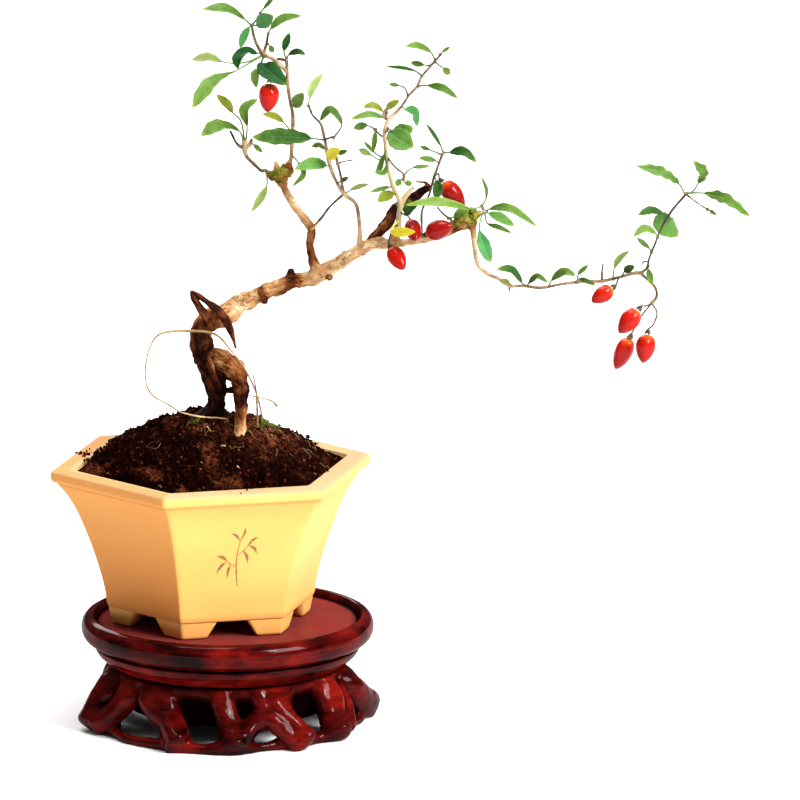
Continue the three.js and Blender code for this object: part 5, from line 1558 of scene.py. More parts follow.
def leaf_skin():
    """Green leaf and cane. The veins are a wave of (along, less a share of the way out)."""
    s = Shader("leaf_skin")
    along_blade, out = s.field("along"), abs(s.field("across"))
    mottle = s.noise(s.places(), 330, detail=3)
    fine = s.noise(s.places(), 2400, detail=2)
    tone = s.field("tone") + (mottle - 0.5) * 0.45 + out * 0.14 + (along_blade - 0.6) * 0.22
    green = s.ramp(
        tone,
        (0.0, (0.003, 0.034, 0.004)), (0.25, (0.021, 0.066, 0.008)), (0.5, (0.062, 0.138, 0.018)),
        (0.75, (0.115, 0.218, 0.034)), (1.0, (0.24, 0.32, 0.11)),
    )
    cooled = s.mix(s.field("cool"), green, (0.026, 0.21, 0.062))
    ripe = s.field("gold") + s.step(along_blade + mottle * 0.2, 0.96, 1.14) * 0.22
    golden = s.mix(ripe, cooled, (0.85, 0.68, 0.02))
    way = (along_blade - out * VEIN_SLANT) * VEINS
    wave = s.node("ShaderNodeMath", {0: way}, operation="SINE")
    vein = s.step(wave, 0.55, 1.0) * s.step(out, 0.95, 0.5) * s.step(out, 0.03, 0.12)
    midrib = s.step(out, 0.13, 0.04) * s.step(along_blade, 1.0, 0.6)
    blade = s.field("blade")
    paler = s.mix(0.35, golden, (0.16, 0.28, 0.09))
    veined = s.mix((vein * 0.25 + midrib * 0.7) * blade * (0.35 + tone), golden, paler)
    under = s.mix(s.field("under") * 0.5, veined, (0.11, 0.21, 0.07))
    cane = s.ramp(
        s.field("woody") + (mottle - 0.5) * 0.9,
        (0.0, (0.040, 0.030, 0.016)), (0.25, (0.095, 0.060, 0.034)), (0.5, (0.23, 0.14, 0.075)),
        (0.75, (0.36, 0.245, 0.14)), (1.0, (0.46, 0.35, 0.21)),
    )
    colour = s.mix(blade, cane, under)
    return s.finish(
        Base_Color=colour,
        Roughness=0.4 + fine * 0.12 + s.field("under") * 0.2,
        Specular_IOR_Level=0.06,
        Coat_Weight=0.07 * blade,
        Coat_Roughness=0.3,
        Normal=s.bump(fine * 0.25 + mottle * 0.5 - vein * blade * 0.5 - midrib * 0.4, 0.00018),
    )


LEAF_SKIN = leaf_skin()

# %% Blades
BLADE_ROWS = 34
BLADE_LANES = np.array([-1, -0.84, -0.6, -0.34, -0.12, 0, 0.12, 0.34, 0.6, 0.84, 1])
# Thickness in mm at the blade's edge, and how much more there is at the midrib.
BLADE_EDGE = 0.12
BLADE_SWELL = 0.2
# Radians of wave along the whole blade, in its outline and in its lift.
EDGE_WAVES = 28
RIPPLES = 9
STALK_RADIUS = 0.5


def lance(s, widest_at):
    """Half width of a lance-shaped blade: half a sine wave, squeezed so that its top is there."""
    power = math.log(0.5) / math.log(widest_at)
    return np.sin(np.pi * np.clip(s, 0, 1) ** power) ** 0.7


def blade_frame(points, at, roll):
    """The midrib's middle, the way across the blade and its upward side at each place. The blade
    faces the eye, and is then rolled about its midrib until its upper face looks to the sky."""
    heading = headings_at(points, at)
    roll = -roll if heading[:, 0].mean() > 0 else roll
    facing = unit(TOWARDS_EYE - heading * (heading @ TOWARDS_EYE)[:, None])
    side = np.cross(heading, facing)
    angle = math.radians(roll)
    across = side * math.cos(angle) - facing * math.sin(angle)
    return curve(points, at), across, unit(np.cross(across, heading))


def add_blade(skin, form, points, base, looks, phase):
    """The blade's slices: width from the lance shape, height from the fold and the waved edge,
    and a thin section that is thicker at the midrib, with the rib standing out underneath."""
    s = (1 - np.cos(np.linspace(0.05, np.pi, BLADE_ROWS))) / 2
    middle, across, up = blade_frame(points, base + s * (1 - base), form.roll)
    lanes = BLADE_LANES
    depth = 0.035 + 0.4 * max(form.wave - 0.7, 0)
    edge = 1 + depth * np.sin(EDGE_WAVES * s[:, None] + phase + 1.3 * np.sign(lanes))
    half = form.wide * lance(s, form.widest_at)[:, None] * edge
    half = np.maximum(half, np.interp(s, [0, 1], [0.8, 0.1])[:, None]) / 2
    ripple = form.wave * np.sin(RIPPLES * s[:, None] + 1.6 * lanes) * lance(s, 0.5)[:, None]
    soft = np.sqrt(lanes**2 + 0.006) - 0.077
    lift = soft * (half * math.tan(math.radians(form.fold)) + ripple)
    rib = np.exp(-((lanes * half / 0.3) ** 2)) * np.interp(s, [0, 1], [1, 0.15])[:, None]
    thick = BLADE_EDGE + BLADE_SWELL * (1 - lanes**2)
    upper = lift + thick / 2 - rib * 0.1
    lower = lift - thick / 2 - rib * 0.3
    flat = middle[:, None] + across[:, None] * (half * lanes)[..., None] * MM
    faces = [flat + up[:, None] * (height * MM)[..., None] for height in (upper, lower)]
    rings = np.concatenate([faces[0], faces[1][:, ::-1]], axis=1)
    across_blade = np.concatenate([lanes, lanes[::-1]])
    under = np.repeat([0.0, 1.0], len(lanes))
    skin.loft(rings, blade=1.0, along=s[:, None], across=across_blade, under=under, **looks)


def add_leaf(skin, form, draw):
    """One leaf: a swelling on the cane, the narrow stalk, and the blade that it runs into."""
    points = place(form.stalk + form.rib)
    base = len(form.stalk) / (len(points) - 1)
    lightness, golden, cool = LEAF_LOOKS[form.look]
    looks = {
        "tone": lightness + draw.uniform(-0.08, 0.08),
        "gold": golden * draw.uniform(0.7, 1.1),
        "cool": cool + draw.uniform(0, 0.06),
    }
    add_swelling(skin, points[0], 0.85)
    at = np.linspace(0, base + 0.05 * (1 - base), 9)
    radii = np.linspace(STALK_RADIUS, 0.34, len(at)) * MM
    rings = rings_round(curve(points, at), headings_at(points, at), radii, sides=8)
    skin.loft(rings, blade=1.0, along=0.0, across=0.02, under=0.3, **looks)
    add_blade(skin, form, points, base, looks, draw.uniform(0, 6))


# %% Canes, stalks and calyxes
def add_swelling(skin, middle, radius):
    """A small rounded knob on a cane: a ball, a little taller than wide."""
    knob = ball(6, 8, margin=0.2) * [1, 1, 1.15]
    skin.loft(middle + knob * radius * MM, woody=0.3)


def add_cane(skin, points, radii, paler):
    """A cane of many short steps, with skin a little uneven and its ends rounded."""
    slim = radii * np.interp(radii / MM, [0.5, 1.3], [0.72, 0.95])
    rings = tube(points, slim, sides=12, per_span=6, lumps=0.03)
    rings = uneven(rings, 2.2 * MM, 0.14 * MM)
    rings = rounded_ends(rings, radii[[0, -1]] * 0.7)
    thickness = np.linalg.norm(rings - rings.mean(axis=1, keepdims=True), axis=-1) / MM
    skin.loft(rings, woody=smooth_step(thickness, 0.3, 1.3) + paler)


CALYX_LENGTH = 2.6
CALYX_LOBES = 5
# Outline of the cup as (radius, height) in mm, up its outside, over its edge and down its inside.
CALYX_OUTLINE = [
    (0.55, 0), (0.8, 0.35), (1.15, 0.9), (1.4, 1.6), (1.6, 2.3), (1.62, 2.6), (1.4, 2.62),
    (1.25, 2.3), (0.9, 1.9), (0.3, 1.7),
]


def add_fruit_stalk(skin, stalk, neck, tip):
    """The stalk of a berry, which ends in a cup with five lobes just short of the berry."""
    end, far = place([neck, tip])
    axis = unit(far - end)
    start = end - axis * CALYX_LENGTH * MM
    points = np.concatenate([place(stalk), [start, start + axis * 0.4 * MM]])
    radii = np.full(len(points), 0.84 * STALK_RADIUS) * MM
    skin.loft(tube(points, radii, sides=10, per_span=6, lumps=0.03), woody=0.12)
    outline = along(CALYX_OUTLINE, 22)
    angle = circle(30)
    lobes = 1 + 0.14 * np.cos(CALYX_LOBES * angle) * smooth_step(outline[:, 1], 1.4, 2.6)[:, None]
    radius = outline[:, :1] * (1 + 0.05 * np.cos(CALYX_LOBES * angle))
    height = outline[:, 1:] * lobes - 0.25 * smooth_step(outline[:, 1:], 2, 2.6)
    out = outwards(axis, angle)
    cup = start + out[None] * radius[..., None] * MM + axis * height[..., None] * MM
    skin.loft(cup, woody=0.15)


# %% [markdown]
# Each stem was laid out on the front drawing: its cane from where it is grafted on the wood, its side
# stems, then its leaves. A leaf that lies in front of another has a smaller depth.
# Everything on one stem goes into one skin, so that it moves as one piece.

# %% Growing a stem
GAP = 0.3
GRAFT_START = 2
# Each berry: where it joins its calyx and its tip, on the front drawing, and its width in mm.
BERRIES = {
    "berry_crown": ((270.5, 84.5, -2), (268, 113.5, -4), 10.2),
    "berry_under_branch": ((391, 249, -8), (404, 270, -15), 8.8),
    "berry_heart_left": ((411, 223, -9), (416, 241, -19), 8.4),
    "berry_heart_top": ((442.5, 183, -2), (464, 208, -3), 9.8),
    "berry_heart_front": ((427, 235, -13), (452, 226, -17), 10),
    "berry_cascade": ((612, 288, 2), (591.5, 302, 0), 8.4),
    "berry_cluster_upper": ((638, 310, 2), (619, 333, 0), 9.8),
    "berry_cluster_left": ((630, 338, 11), (616, 369, 12), 9.2),
    "berry_cluster_right": ((647.5, 334, 4), (643, 363, 3), 9.8),
}


def make_leafy_stem(node, grafts, leaves, stems=(), fruit=None, paler=0.0):
    """One whole leafy stem in one piece, in place of the solid it is named after. Canes are rows
    of (u, v, depth, radius in mm). Above 0, paler makes their bark paler than their thickness
    alone would. A berry's stalk runs through the points that fruit gives it."""
    draw = np.random.default_rng(40 + len(leaves))
    skin = Skin()
    for graft, rows in grafts.items():
        start, end, radius = GRAFTS[graft]
        near, far = place([start, end])
        first = [far + unit(far - near) * reach * MM for reach in (GAP, GAP + GRAFT_START)]
        radii = np.concatenate([[radius, radius], last(rows)]) * MM
        add_cane(skin, np.concatenate([first, place(rows)]), radii, paler)
    for rows in stems:
        add_cane(skin, place(rows), last(rows) * MM, paler)
    for form in leaves:
        add_leaf(skin, form, draw)
    for berry, stalk in (fruit or {}).items():
        add_fruit_stalk(skin, stalk, *BERRIES[berry][:2])
    print(f"{node}: {len(leaves)} leaves")
    make_piece(node + "_grown", skin, LEAF_SKIN, [node])


# %% Left twig of the crown
make_leafy_stem(
    "leafy_twig_crown_left", paler=-0.3,
    grafts={"crown_left": [
        (262, 171, 11, 1), (254, 164, 10, 1), (247, 157, 9, 1), (245, 149, 9, 1.5), (245, 141, 9, 1.3),
    ]},
    stems=[
        [(245, 149, 9, 1.2), (238, 145, 8, 0.9), (231, 132, 7, 0.7)],
        [(245, 149, 9, 1.3), (250, 145, 9, 1.2), (252, 140, 9, 0.8)],
    ],
    leaves=[
        broad([(244, 142, 9)],
              [(240, 132, 7), (221, 126, 2), (202, 137, -1)], 7.4, roll=35, wave=0.8, widest_at=0.62),
        broad([(246, 143, 9)], [(247.5, 127, 10), (245, 109, 12), (258, 99.5, 14)], 5, roll=20),
        Leaf([(245, 142, 9), (241, 121, 13)],
             [(233, 113, 15), (227, 104, 18), (216.5, 94.5, 20)], 4.6, "olive", roll=20),
        Leaf([(251, 143, 9)], [(254, 145, 8), (263, 153, 5)], 2.6),
        Leaf([(267, 173, 11.8)], [(267, 186, 9), (262, 197, 7), (252, 212, 6)], 4, "pale", roll=15),
    ],
)

# %% Top of the crown
make_leafy_stem(
    "leafy_stem_crown_top", paler=-0.2,
    grafts={"crown_top": [
        (292, 148, 12, 1.2), (293, 130, 11, 1.1), (293, 115, 10, 1), (290, 99, 9.5, 1), (288, 82, 9, 1),
        (287, 60, 9, 1.1),
    ]},
    stems=[
        [
            (288, 74, 9, 1), (282, 67, 8, 1.2), (273, 60, 7, 1.1), (264, 55, 6, 1.1), (257, 45, 5, 0.9),
            (252, 26, 4, 0.8),
        ],
        [(264, 55, 6, 1), (267, 45, 6, 0.8), (269, 34, 6, 0.7)],
        [(252, 28, 4, 0.7), (258, 20, 4, 0.5), (262, 14, 4, 0.5)],
        [(287, 62, 9, 0.9), (280, 60, 10, 0.9), (275, 62, 12, 0.8)],
    ],
    leaves=[
        broad([(252, 27, 4)],
              [(246, 21.5, 3), (228, 10.5, 0), (204, 11.5, -4)], 4.8, "green", roll=25, widest_at=0.55),
        Leaf([(261, 15, 4)], [(264, 11, 4), (270, 4, 3), (276, -3, 2)], 2.2),
        broad([(253, 27, 4)], [(257, 27, 2), (265, 23, -2), (274, 18, -6)], 7.8, "jade", roll=-5, fold=4),
        Leaf([(269, 35, 6)], [(271, 31, 6), (283, 20, 7), (301.5, 17, 8)], 4.4, "green", roll=15),
        Leaf([(252, 27, 4)], [(250, 29, 2), (245, 38, 0), (241, 50, -1)], 4.2, "jade", roll=15),
        broad([(262, 54, 6)],
              [(258, 54.5, 5), (246, 53, 1), (239, 61, -2), (239, 71, -3)], 6.2, "deep", roll=35, fold=20),
        Leaf([(262, 57, 6), (250, 62, 12), (237, 64, 16)],
             [(222, 62, 19), (208, 57, 22), (192, 60, 24)], 4.6, "pale", roll=20),
        broad([(263, 57, 6), (248, 66, 0)],
              [(236, 73, -4), (214, 83, -9), (194, 109.5, -14)], 7, roll=15, wave=0.8, widest_at=0.66),
        Leaf([(287, 61, 9)], [(284.5, 52, 9), (290, 34, 10)], 3.8, "deep"),
        Leaf([(287, 60, 9)], [(289, 56, 9), (298, 53, 6), (306, 56, 4)], 3.4, "dark", roll=20),
        Leaf([(268, 45, 6)], [(270, 47, 8), (274, 53, 11)], 3),
        broad([(266, 57, 6)], [(262, 64, 2), (270, 73, -3), (288, 87, -8)], 10.2, "deep", roll=20),
        Leaf([(264, 57, 6)], [(261, 69, 5), (256, 76, 4), (257, 89, 4)], 4.6, "bright", roll=20),
        Leaf([(291, 106, 10)], [(293, 106, 9), (298, 102, 7), (304, 94, 5)], 6.4, "bright", roll=10),
        Leaf([(293, 134, 11), (289, 129, 8)],
             [(284, 123, 6), (275, 117, 3), (263, 115, 0)], 3.6, "olive", roll=10),
        Leaf([(291.5, 155, 12)], [(298, 162, 9), (304, 174, 6), (293, 187, 3)], 3, roll=20),
    ],
    fruit={"berry_crown": [(288, 84, 9), (279, 78, 2)]},
)

# %% Middle stem
make_leafy_stem(
    "leafy_stem_middle", paler=-0.1,
    grafts={
        "middle": [
            (359, 218, 1, 1.1), (356, 204, 0, 1), (345, 195, 0, 1.3), (337, 183, -1, 0.9),
            (330, 165, -2, 1.2), (325, 139, -2, 0.9),
        ],
        "middle_brace": [(330, 207, 5, 0.7), (343.6, 195, 0, 0.9)],
    },
    stems=[
        [(344, 194, 0, 0.9), (339, 168, -3, 0.8), (333, 150, -3, 1), (329, 156, -2.5, 1)],
        [(325, 140, -2, 0.9), (321, 125, -2, 0.8), (313, 116, -1, 0.7), (309, 106, 0, 0.7)],
        [(325, 141, -2, 0.7), (330, 139, -4, 0.6), (335, 138, -5, 0.8)],
        [(337, 165, -3, 0.6), (344, 162.5, -4, 0.5), (353, 161, -5, 0.3)],
    ],
    leaves=[
        Leaf([(328, 153, -2)], [(325, 150, -1), (319, 146, 2), (312, 147, 4)], 3, roll=20),
        Leaf([(333, 152, -3)], [(337, 154, -4), (348, 152, -7)], 2.6),
        Leaf([(330, 162, -2)], [(329, 160, -5), (333, 155, -9), (340, 150, -12)], 6, "yellow", roll=5),
        broad([(331, 168, -2)],
              [(327, 166.5, -3), (314, 164.5, -7), (295, 170.5, -11)], 6.4, "fresh", roll=15),
        Leaf([(338, 184, -1)], [(341, 182, -1), (349, 178, -3)], 2.4),
        Leaf([(346, 194, 0)], [(350, 191, -1), (360, 187, -2), (369, 185, -3)], 2.6, "pale", roll=15),
        Leaf([(309, 107, 0)], [(310, 100, 0), (314, 87, 2), (323, 75, 4)], 4.2, "pale", roll=10),
        broad([(325, 141, -2)],
              [(312, 139.5, -4), (284, 138, -5), (253, 138.5, -6)], 8.6, "dark", roll=15, wave=0.8),
        Leaf([(334, 139, -5)], [(342, 126, -5), (331, 111, -3), (320, 122, -1)], 4.4, roll=25),
    ],
)

# %% Right stem
make_leafy_stem(
    "leafy_stem_right", paler=0.15,
    grafts={"right": [
        (399, 219, -6, 1.5), (400.5, 203, -7, 1.6), (394, 190, -8, 1.2), (387.6, 166, -8.5, 1.1),
        (386, 151, -9, 1.1), (385, 131, -9, 1.1), (389.5, 120, -9, 1.2), (396.5, 114, -9, 0.9),
        (403, 106, -9, 0.8), (409, 97, -9, 0.8), (417, 88.5, -9, 0.8), (422, 78, -9, 0.8),
        (429, 70, -9, 0.8), (436, 62, -9, 0.8), (441, 56.5, -9, 0.7),
    ]},
    stems=[
        [(400, 206, -7, 1.4), (406, 197, -7, 1.4), (413, 189, -7, 1.1)],
        [(387, 158, -8.5, 0.8), (396, 169, -12, 0.6), (404, 176, -14, 0.6), (403.5, 182, -14, 0.5)],
        [(386, 140, -9, 0.8), (380, 136, -8, 0.6), (374, 130, -7, 0.6)],
        [(388, 122, -9, 0.9), (384, 117, -8, 1.1), (386, 111, -8, 0.8)],
    ],
    leaves=[
        Leaf([(435, 62, -9)], [(431, 55, -9), (418, 48, -12), (405.5, 49, -15)], 3.6, roll=15),
        Leaf([(440, 57, -9)], [(442, 54.5, -9), (450, 49, -9)], 1.8),
        Leaf([(430, 68, -9)], [(424, 67, -8), (411, 64.5, -5)], 3),
        Leaf([(422, 78, -9)], [(416, 73.5, -10), (402, 70, -13), (386, 69, -16)], 1.9, "dark"),
        Leaf([(408, 97, -9), (405, 90, -9)], [(399, 87.5, -9), (389, 86, -10)], 2.2),
        Leaf([(418, 88, -9)], [(427, 87.5, -10), (442, 90, -13), (457.5, 100.5, -16)], 4, roll=15),
        Leaf([(435, 64, -9), (440, 68, -8)], [(443, 70, -8), (450, 76, -6)], 3.6),
        Leaf([(387, 114, -8)], [(387, 112, -6), (392, 106, -3), (399, 101.5, 0)], 4, "olive", roll=25),
        Leaf([(386, 117, -8)], [(383, 113, -8), (374, 107, -9), (363.5, 109, -10)], 3.6, "olive", roll=20),
        Leaf([(386, 120, -9)], [(383, 119, -10), (370, 116, -12), (350.5, 121, -14)], 3.4, roll=10),
        Leaf([(402, 108, -9)], [(405, 111, -7), (414, 113, -3), (417.5, 127, 2)], 5.2, "jade", roll=30),
        broad([(386, 133, -9)],
              [(389, 133, -12), (399, 141, -16), (413, 149, -19)], 11.4, "fresh", roll=10, widest_at=0.55),
        broad([(388, 130, -9)], [(393, 132, -5), (403, 131, 1), (413, 128, 7)], 6.6, roll=15),
        Leaf([(376, 131, -7)], [(368, 127, -7), (361, 127.5, -7), (354, 130, -8)], 4),
        Leaf([(375, 131, -7)], [(375.5, 133, -8), (373.5, 153, -10)], 2.8),
        Leaf([(386.5, 158, -8.7), (381, 158, -10)], [(375, 154, -12), (364, 143, -14)], 2),
        Leaf([(387, 160, -8.7), (380, 161, -7)], [(371, 156, -4), (359, 150, -1)], 3.4, "pale", roll=10),
        Leaf([(386, 152, -9)], [(384, 156, -11), (380.5, 168, -13), (377, 176, -12)], 3.4, roll=25),
        Leaf([(385, 156, -9)], [(386.5, 166, -14), (384, 174, -17), (374, 173, -19)], 3, roll=20),
        Leaf([(394, 189, -8)], [(390, 188, -9), (370, 193, -12)], 2.4),
        broad([(396, 195, -8)],
              [(394, 195, -11), (386, 197, -14), (378, 203, -17)], 5.6, "olive", roll=10),
        Leaf([(404, 177, -14), (408, 172, -13)], [(413, 169, -12), (430, 167, -10)], 2.2),
        Leaf([(403.5, 180, -14)], [(401, 181, -14), (396, 187, -15)], 3.4),
        Leaf([(403.5, 181, -14)], [(405, 184, -14), (412, 184, -12)], 3.4, roll=20),
        Leaf([(399, 221, -6)], [(391, 231, -12), (401, 233, -18), (415, 233, -24)], 5, "yellow"),
        broad([(400, 212, -6.5)],
              [(404, 215, -9), (409, 210, -11), (418, 205, -13)], 5.4, "dark", roll=15),
    ],
    fruit={
        "berry_under_branch": [(398.6, 224, -5.5), (391, 234, -9.5)],
        "berry_heart_left": [(400, 214, -6.6), (407, 216, -7.5)],
    },
)

# %% Twig beside the right stem
make_leafy_stem(
    "leafy_twig_right",
    grafts={"right_twig": [
        (422, 212, -6, 0.7), (430, 193, -6, 0.7), (434, 178, -6, 0.8), (438, 167, -6, 0.7),
        (443, 153, -6, 1),
    ]},
    leaves=[
        Leaf([(443, 154, -6)], [(441, 148, -6), (434, 136, -7), (426, 125, -8)], 2, "dark", roll=10),
        broad([(443, 154, -6)],
              [(449, 153.5, -7), (463, 153, -10), (476, 163.5, -13)], 5, "dark", roll=20),
        Leaf([(442, 156, -6)], [(430, 151, -5), (420, 147.5, -4)], 2.2),
        Leaf([(439, 164, -6)], [(436, 162, -6), (428, 160, -7), (419, 159, -8)], 3),
        broad([(434, 178, -6)], [(436, 181, -8), (438, 190, -9), (435, 200, -9)], 5.4, "dark", roll=10),
    ],
    fruit={
        "berry_heart_top": [(435, 177, -6), (438.5, 174.5, -4)],
        "berry_heart_front": [(422, 222, -6), (422, 230, -10)],
    },
)

# %% Trailing stem
make_leafy_stem(
    "leafy_stem_cascade", paler=-0.05,
    grafts={"cascade": [
        (475, 251, -12, 1.3), (478, 265, -12, 1.2), (487, 274, -11, 1.1), (498, 279, -9, 1),
        (509, 286, -6, 1), (524, 286, -3, 0.9), (540, 288, 0, 0.9), (560, 284.5, 3, 0.9),
        (580, 281.5, 5, 0.9), (602, 281, 6, 1), (620, 277, 6, 0.9), (634, 273, 5, 1.1),
        (642, 273, 4, 1.1),
    ]},
    stems=[
        [(509, 286, -6, 0.7), (509, 291, -5.6, 0.5)],
        [(602, 280, 6, 0.8), (602, 271, 6, 0.7), (603, 264, 6, 0.5)],
        [
            (640, 273, 4, 0.9), (646, 269, 3, 0.8), (649, 258, 1, 0.7), (655, 243, -1, 0.7),
            (661, 228, -2, 0.7), (672, 210, -4, 0.7), (685, 195, -6, 0.8),
        ],
        [
            (640, 273, 4, 1), (648, 280, 5, 0.8), (655, 287, 6, 0.8), (656.5, 297, 7, 0.8),
            (652, 303, 7, 1.1),
        ],
        [(648, 262, 2, 0.6), (643, 262, 0, 0.6), (641, 266, 0, 0.5)],
        [(685, 195, -6, 0.7), (698, 205, -9, 0.4), (714, 215, -12, 0.4)],
    ],
    leaves=[
        Leaf([(524, 286, -3)], [(522, 283, -4), (511, 270, -8), (496, 270, -12)], 4.4, "dark", roll=30),
        Leaf([(510, 285.5, -6)], [(509, 283, -8), (500, 280, -12)], 2.6, "olive"),
        Leaf([(528, 286.5, -2)], [(528, 284, -4), (537, 277, -8), (547, 283, -12)], 3.6, roll=30),
        Leaf([(549, 286.5, 1.5)], [(551, 281, 0), (564, 272, -4), (575, 276, -7)], 4.4, roll=20),
        Leaf([(578, 282, 5)], [(578, 275, 5), (588, 265, 6)], 2.4),
        Leaf([(576, 282.5, 4.7)], [(579, 279, 2), (595, 285, -5)], 2.6),
        Leaf([(613, 279, 6)], [(614, 269, 5), (619, 259, 4), (629, 251, 3)], 3.2, "pale", roll=10),
        Leaf([(622, 276.5, 6)], [(624, 272, 4), (634, 266, 0)], 4, "dark"),
        Leaf([(648, 266, 3)], [(648, 269, 3), (652, 286, 2)], 3.4),
        broad([(684, 195, -6)], [(678, 185, -7), (662, 174, -9), (634.5, 167, -12)], 5.2, roll=20, wave=1),
        broad([(685, 195, -6), (692, 192, -6)],
              [(697, 184, -6), (702, 174, -7), (691.5, 162, -8)], 5.2, roll=20, wave=1),
        broad([(686, 194, -6)],
              [(702, 194, -8), (724, 200, -12), (748, 217.5, -16)], 5.4, roll=15, wave=1),
        Leaf([(706, 210, -10.5)], [(708, 211, -11), (715, 216, -12.5)], 2),
        broad([(668, 216, -3.3)], [(663, 213, 0), (663, 223, 3), (678, 236, 7)], 11, "fresh", roll=10),
        Leaf([(668, 216, -3.3)], [(662, 214, -5), (650, 211, -8), (637, 216, -11)], 4.4, "dark", roll=25),
        Leaf([(657, 238, -1.3)], [(655, 234, -2), (644, 229, -4), (633, 237, -6)], 4.4, "bright", roll=25),
        Leaf([(651, 253, 0.4)], [(649, 249, -1), (642, 243, -4), (636, 238.5, -8)], 2.6),
    ],
    fruit={
        "berry_cascade": [(619, 277.5, 6), (617, 282, 4)],
        "berry_cluster_upper": [(652, 303, 7), (646, 306, 4)],
        "berry_cluster_left": [(652, 303, 7), (641, 317, 11)],
        "berry_cluster_right": [(652, 303, 7), (657, 313, 5), (653, 325, 4)],
    },
)

# %% Spray at the branch's end
make_leafy_stem(
    "leafy_node_right", paler=0.1,
    grafts={"node": [(484, 213, -10, 1.1), (487, 212, -10, 0.8)]},
    stems=[
        [(485, 213.5, -10.3, 0.9), (481, 206, -9, 0.7)],
    ],
    leaves=[
        Leaf([(481.5, 207, -9)], [(485.5, 200, -8), (486, 190, -8), (480.7, 177, -8)], 1.8),
        Leaf([(485.6, 212.3, -10)], [(489, 210, -11), (508, 209, -14), (536, 227, -18)], 4.6, roll=25),
        broad([(485.2, 212.9, -9.8)],
              [(488, 214, -8), (500, 218, -4), (514, 226, 1)], 5, "fresh", roll=10),
        Leaf([(484.4, 213.4, -10)], [(487, 224, -14), (498, 228, -18), (511, 234, -22)], 2.6),
        broad([(483.6, 213.2, -10.2), (481, 218, -13)],
              [(479, 230, -16), (483, 245, -18), (490, 263, -19)], 6.8, "jade", roll=15, widest_at=0.6),
        broad([(482.4, 208.6, -9.2), (479, 208, -12)],
              [(471, 210, -15), (449, 204.5, -19), (431, 203, -21), (406, 206.5, -23)],
              4.8, "bright", roll=15),
    ],
)

# %% Spur on the branch
make_leafy_stem(
    "leafy_spur_crown",
    grafts={"spur": [(446, 217, -10, 0.8), (442, 213.5, -10, 0.7), (437.5, 208.5, -10, 0.6)]},
    leaves=[
        Leaf([(448, 219, -9.9)], [(453, 218, -11), (461, 213.5, -12), (469, 212, -13)], 4.6, roll=20),
    ],
)

# %% [markdown]
# Moss has grown in tufts behind the raised root and beside the loop's foot. A tuft is a patch of
# tiny blades, each a narrow cone that leans its own way. It takes the leaves' material in an olive
# tone.

# %% Moss tufts
# Each tuft's (u, v) on the front drawing, its reach in mm and how many blades it has.
TUFTS = [((266, 424), 3.2, 170), ((261, 427), 2.2, 80), ((274, 428), 2, 60), ((196, 422), 1.6, 40)]


def moss_blade(foot, height, draw):
    """A three-sided cone from its foot to its bent tip."""
    lean = draw.normal(0, 0.45, 2) * height
    at = np.array([0, 0.4, 0.8, 1])
    middles = foot + np.column_stack([np.outer(at**2, lean), at * height])
    radii = 0.22 * (1 - at**2) + 0.02
    angle = circle(3)
    flat = np.stack([np.cos(angle), np.sin(angle), 0 * angle], axis=-1)
    return middles[:, None] + flat * radii[:, None, None]


def make_tufts():
    """All the tufts, seated on the soil."""
    draw = np.random.default_rng(23)
    skin = Skin()
    for (u, v), reach, count in TUFTS:
        middle = soil_under(u, v)[:2]
        for x, y in middle + draw.normal(0, reach / 2, (count, 2)):
            foot = np.array([x, y, soil_top(x, y) - 0.2])
            looks = {"tone": draw.uniform(-0.1, 0.35), "gold": draw.uniform(0.02, 0.2)}
            rings = moss_blade(foot, draw.uniform(0.9, 2.6), draw)
            skin.loft(on_stand(rings * MM), blade=1.0, **looks)
    make_piece("moss_tufts", skin, LEAF_SKIN)


make_tufts()

# %% [markdown]
# ## Berries
#
# A goji berry is a pointed oval, glossy and slightly soft, so its skin has shallow dents. It is orange
# around the stalk, deep red along its sides, and has a small dark scar at the tip. The berries in among
# the leaves get painted shade, a deeper red.

# %% Berry skin
def berry_skin():
    """Glossy red fruit skin, orange at the shoulder and brown at the very tip, with painted shade on some.
    """
    s = Shader("berry_skin")
    down = s.field("along")
    cloudy = s.noise(s.places(), 240, detail=2)
    fine = s.noise(s.places(), 1500, detail=3)
    colour = s.ramp(
        down + (cloudy - 0.5) * 0.16,
        (0.0, (0.55, 0.15, 0.015)), (0.08, (0.52, 0.05, 0.006)), (0.22, (0.42, 0.008, 0.002)),
        (0.8, (0.35, 0.004, 0.0015)), (0.93, (0.30, 0.004, 0.0015)),
    )
    mottled = s.mix(s.step(fine, 0.55, 0.8) * 0.15, colour, (0.60, 0.05, 0.006))
    ripened = s.mix(s.field("deep") * s.step(down, 0.05, 0.3), mottled, (0.13, 0.002, 0.001))
    scar = s.mix(s.step(down, 0.972, 0.99) * 0.9, ripened, (0.11, 0.03, 0.012))
    return s.finish(
        Base_Color=scar,
        Roughness=0.3 + cloudy * 0.1,
        Specular_IOR_Level=0.05,
        Coat_Weight=0.4,
        Coat_Roughness=0.1,
        Coat_IOR=1.36,
        Normal=s.bump(cloudy * 0.8 + fine * 0.12, 0.00022),
    )


BERRY_SKIN = berry_skin()

# %% Berries on their stalks
# A berry's outline as (share of half its width, share of its length).
BERRY_OUTLINE = [
    (0.02, 0), (0.46, 0.025), (0.82, 0.14), (0.99, 0.33), (0.98, 0.48), (0.86, 0.64), (0.62, 0.81),
    (0.34, 0.93), (0.1, 0.99), (0.02, 1),
]
# How strong the painted shade is on the berries among the leaves, and the depth in mm of the dents in a
# berry.
RIPER = 0.6
DENT_DEPTH = 0.13


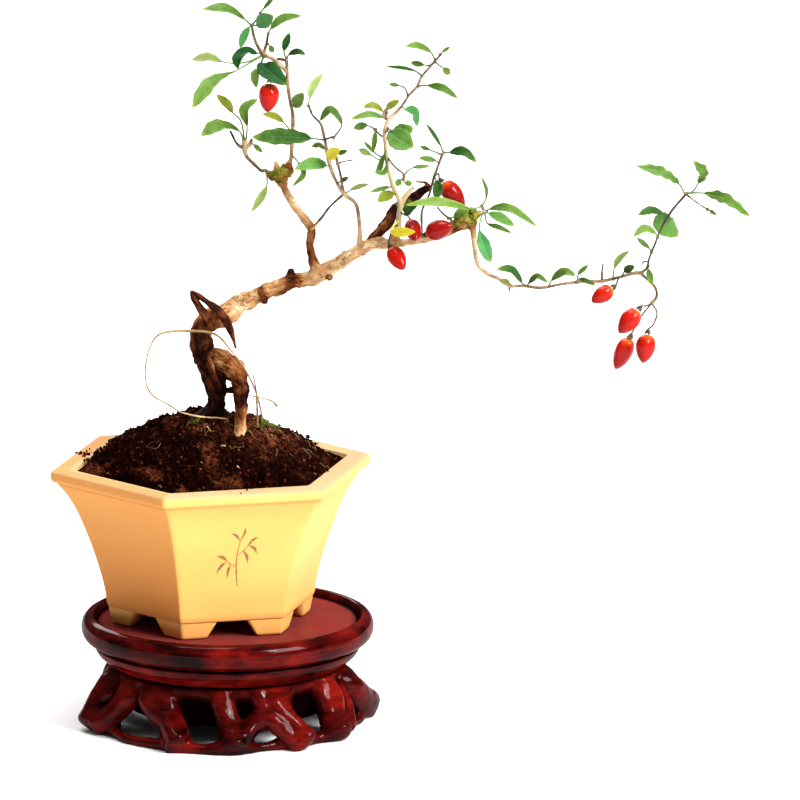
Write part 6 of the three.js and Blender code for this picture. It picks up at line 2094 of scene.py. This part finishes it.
def make_berry(name, neck, tip, wide, phase):
    """Rings along the berry's own axis, from just beyond the calyx to its tip, with three and
    five shallow flutes round it."""
    start, end = place([neck, tip])
    axis = unit(end - start)
    length = np.linalg.norm(end - start) - GAP * MM
    outline = along(BERRY_OUTLINE, 40)
    angle = circle(36)
    out = outwards(axis, angle)
    flutes = 1 + 0.018 * np.cos(3 * angle + phase) + 0.012 * np.cos(5 * angle - phase)
    radius = outline[:, :1] * wide / 2 * MM * flutes
    way = np.clip(outline[:, 1], 0, 1)
    middle = start + axis * (GAP * MM + way * length)[:, None]
    rings = middle[:, None] + out[None] * radius[..., None]
    dents = clouds(rings / (3.6 * MM) + phase, 2) * np.sin(np.pi * way)[:, None]
    rings = rings + out[None] * dents[..., None] * DENT_DEPTH * MM
    skin = Skin()
    # The field deep holds the painted shade of the berries among the leaves.
    skin.loft(rings, along=way[:, None], deep=RIPER if "heart" in name else 0)
    make_piece("ripe_" + name, skin, BERRY_SKIN, [name])


for number, (berry_name, (neck_place, tip_place, width)) in enumerate(BERRIES.items()):
    make_berry(berry_name, neck_place, tip_place, width, number * 1.7)

# %% [markdown]
# ## Last pieces
#
# The square of plastic mesh over the drainage hole keeps the solid's own shape. It only needs a
# finish: dull black plastic with a fine moulded grain.

# %% Drainage mesh
def moulded_plastic():
    """Dull dark plastic with a fine grain and traces of dried soil."""
    s = Shader("moulded_plastic")
    grain = s.noise(s.places(), 2000, detail=3)
    dust = s.step(s.noise(s.places(), 220, detail=4), 0.5, 0.75)
    colour = s.mix(dust * 0.5, (0.02, 0.02, 0.021), (0.11, 0.05, 0.03))
    return s.finish(Base_Color=colour, Roughness=0.5 + grain * 0.2, Normal=s.bump(grain, 0.0001))


drain_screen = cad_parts["drain_screen"]
drain_screen.data.materials.clear()
drain_screen.data.materials.append(moulded_plastic())

# %% Sizes and finish
visual_bounds = [list(corner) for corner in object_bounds()]
for label, corners in (("solids", cad_bounds), ("visual", visual_bounds)):
    print(label, "in mm:", [[round(value / MM, 1) for value in corner] for corner in corners])
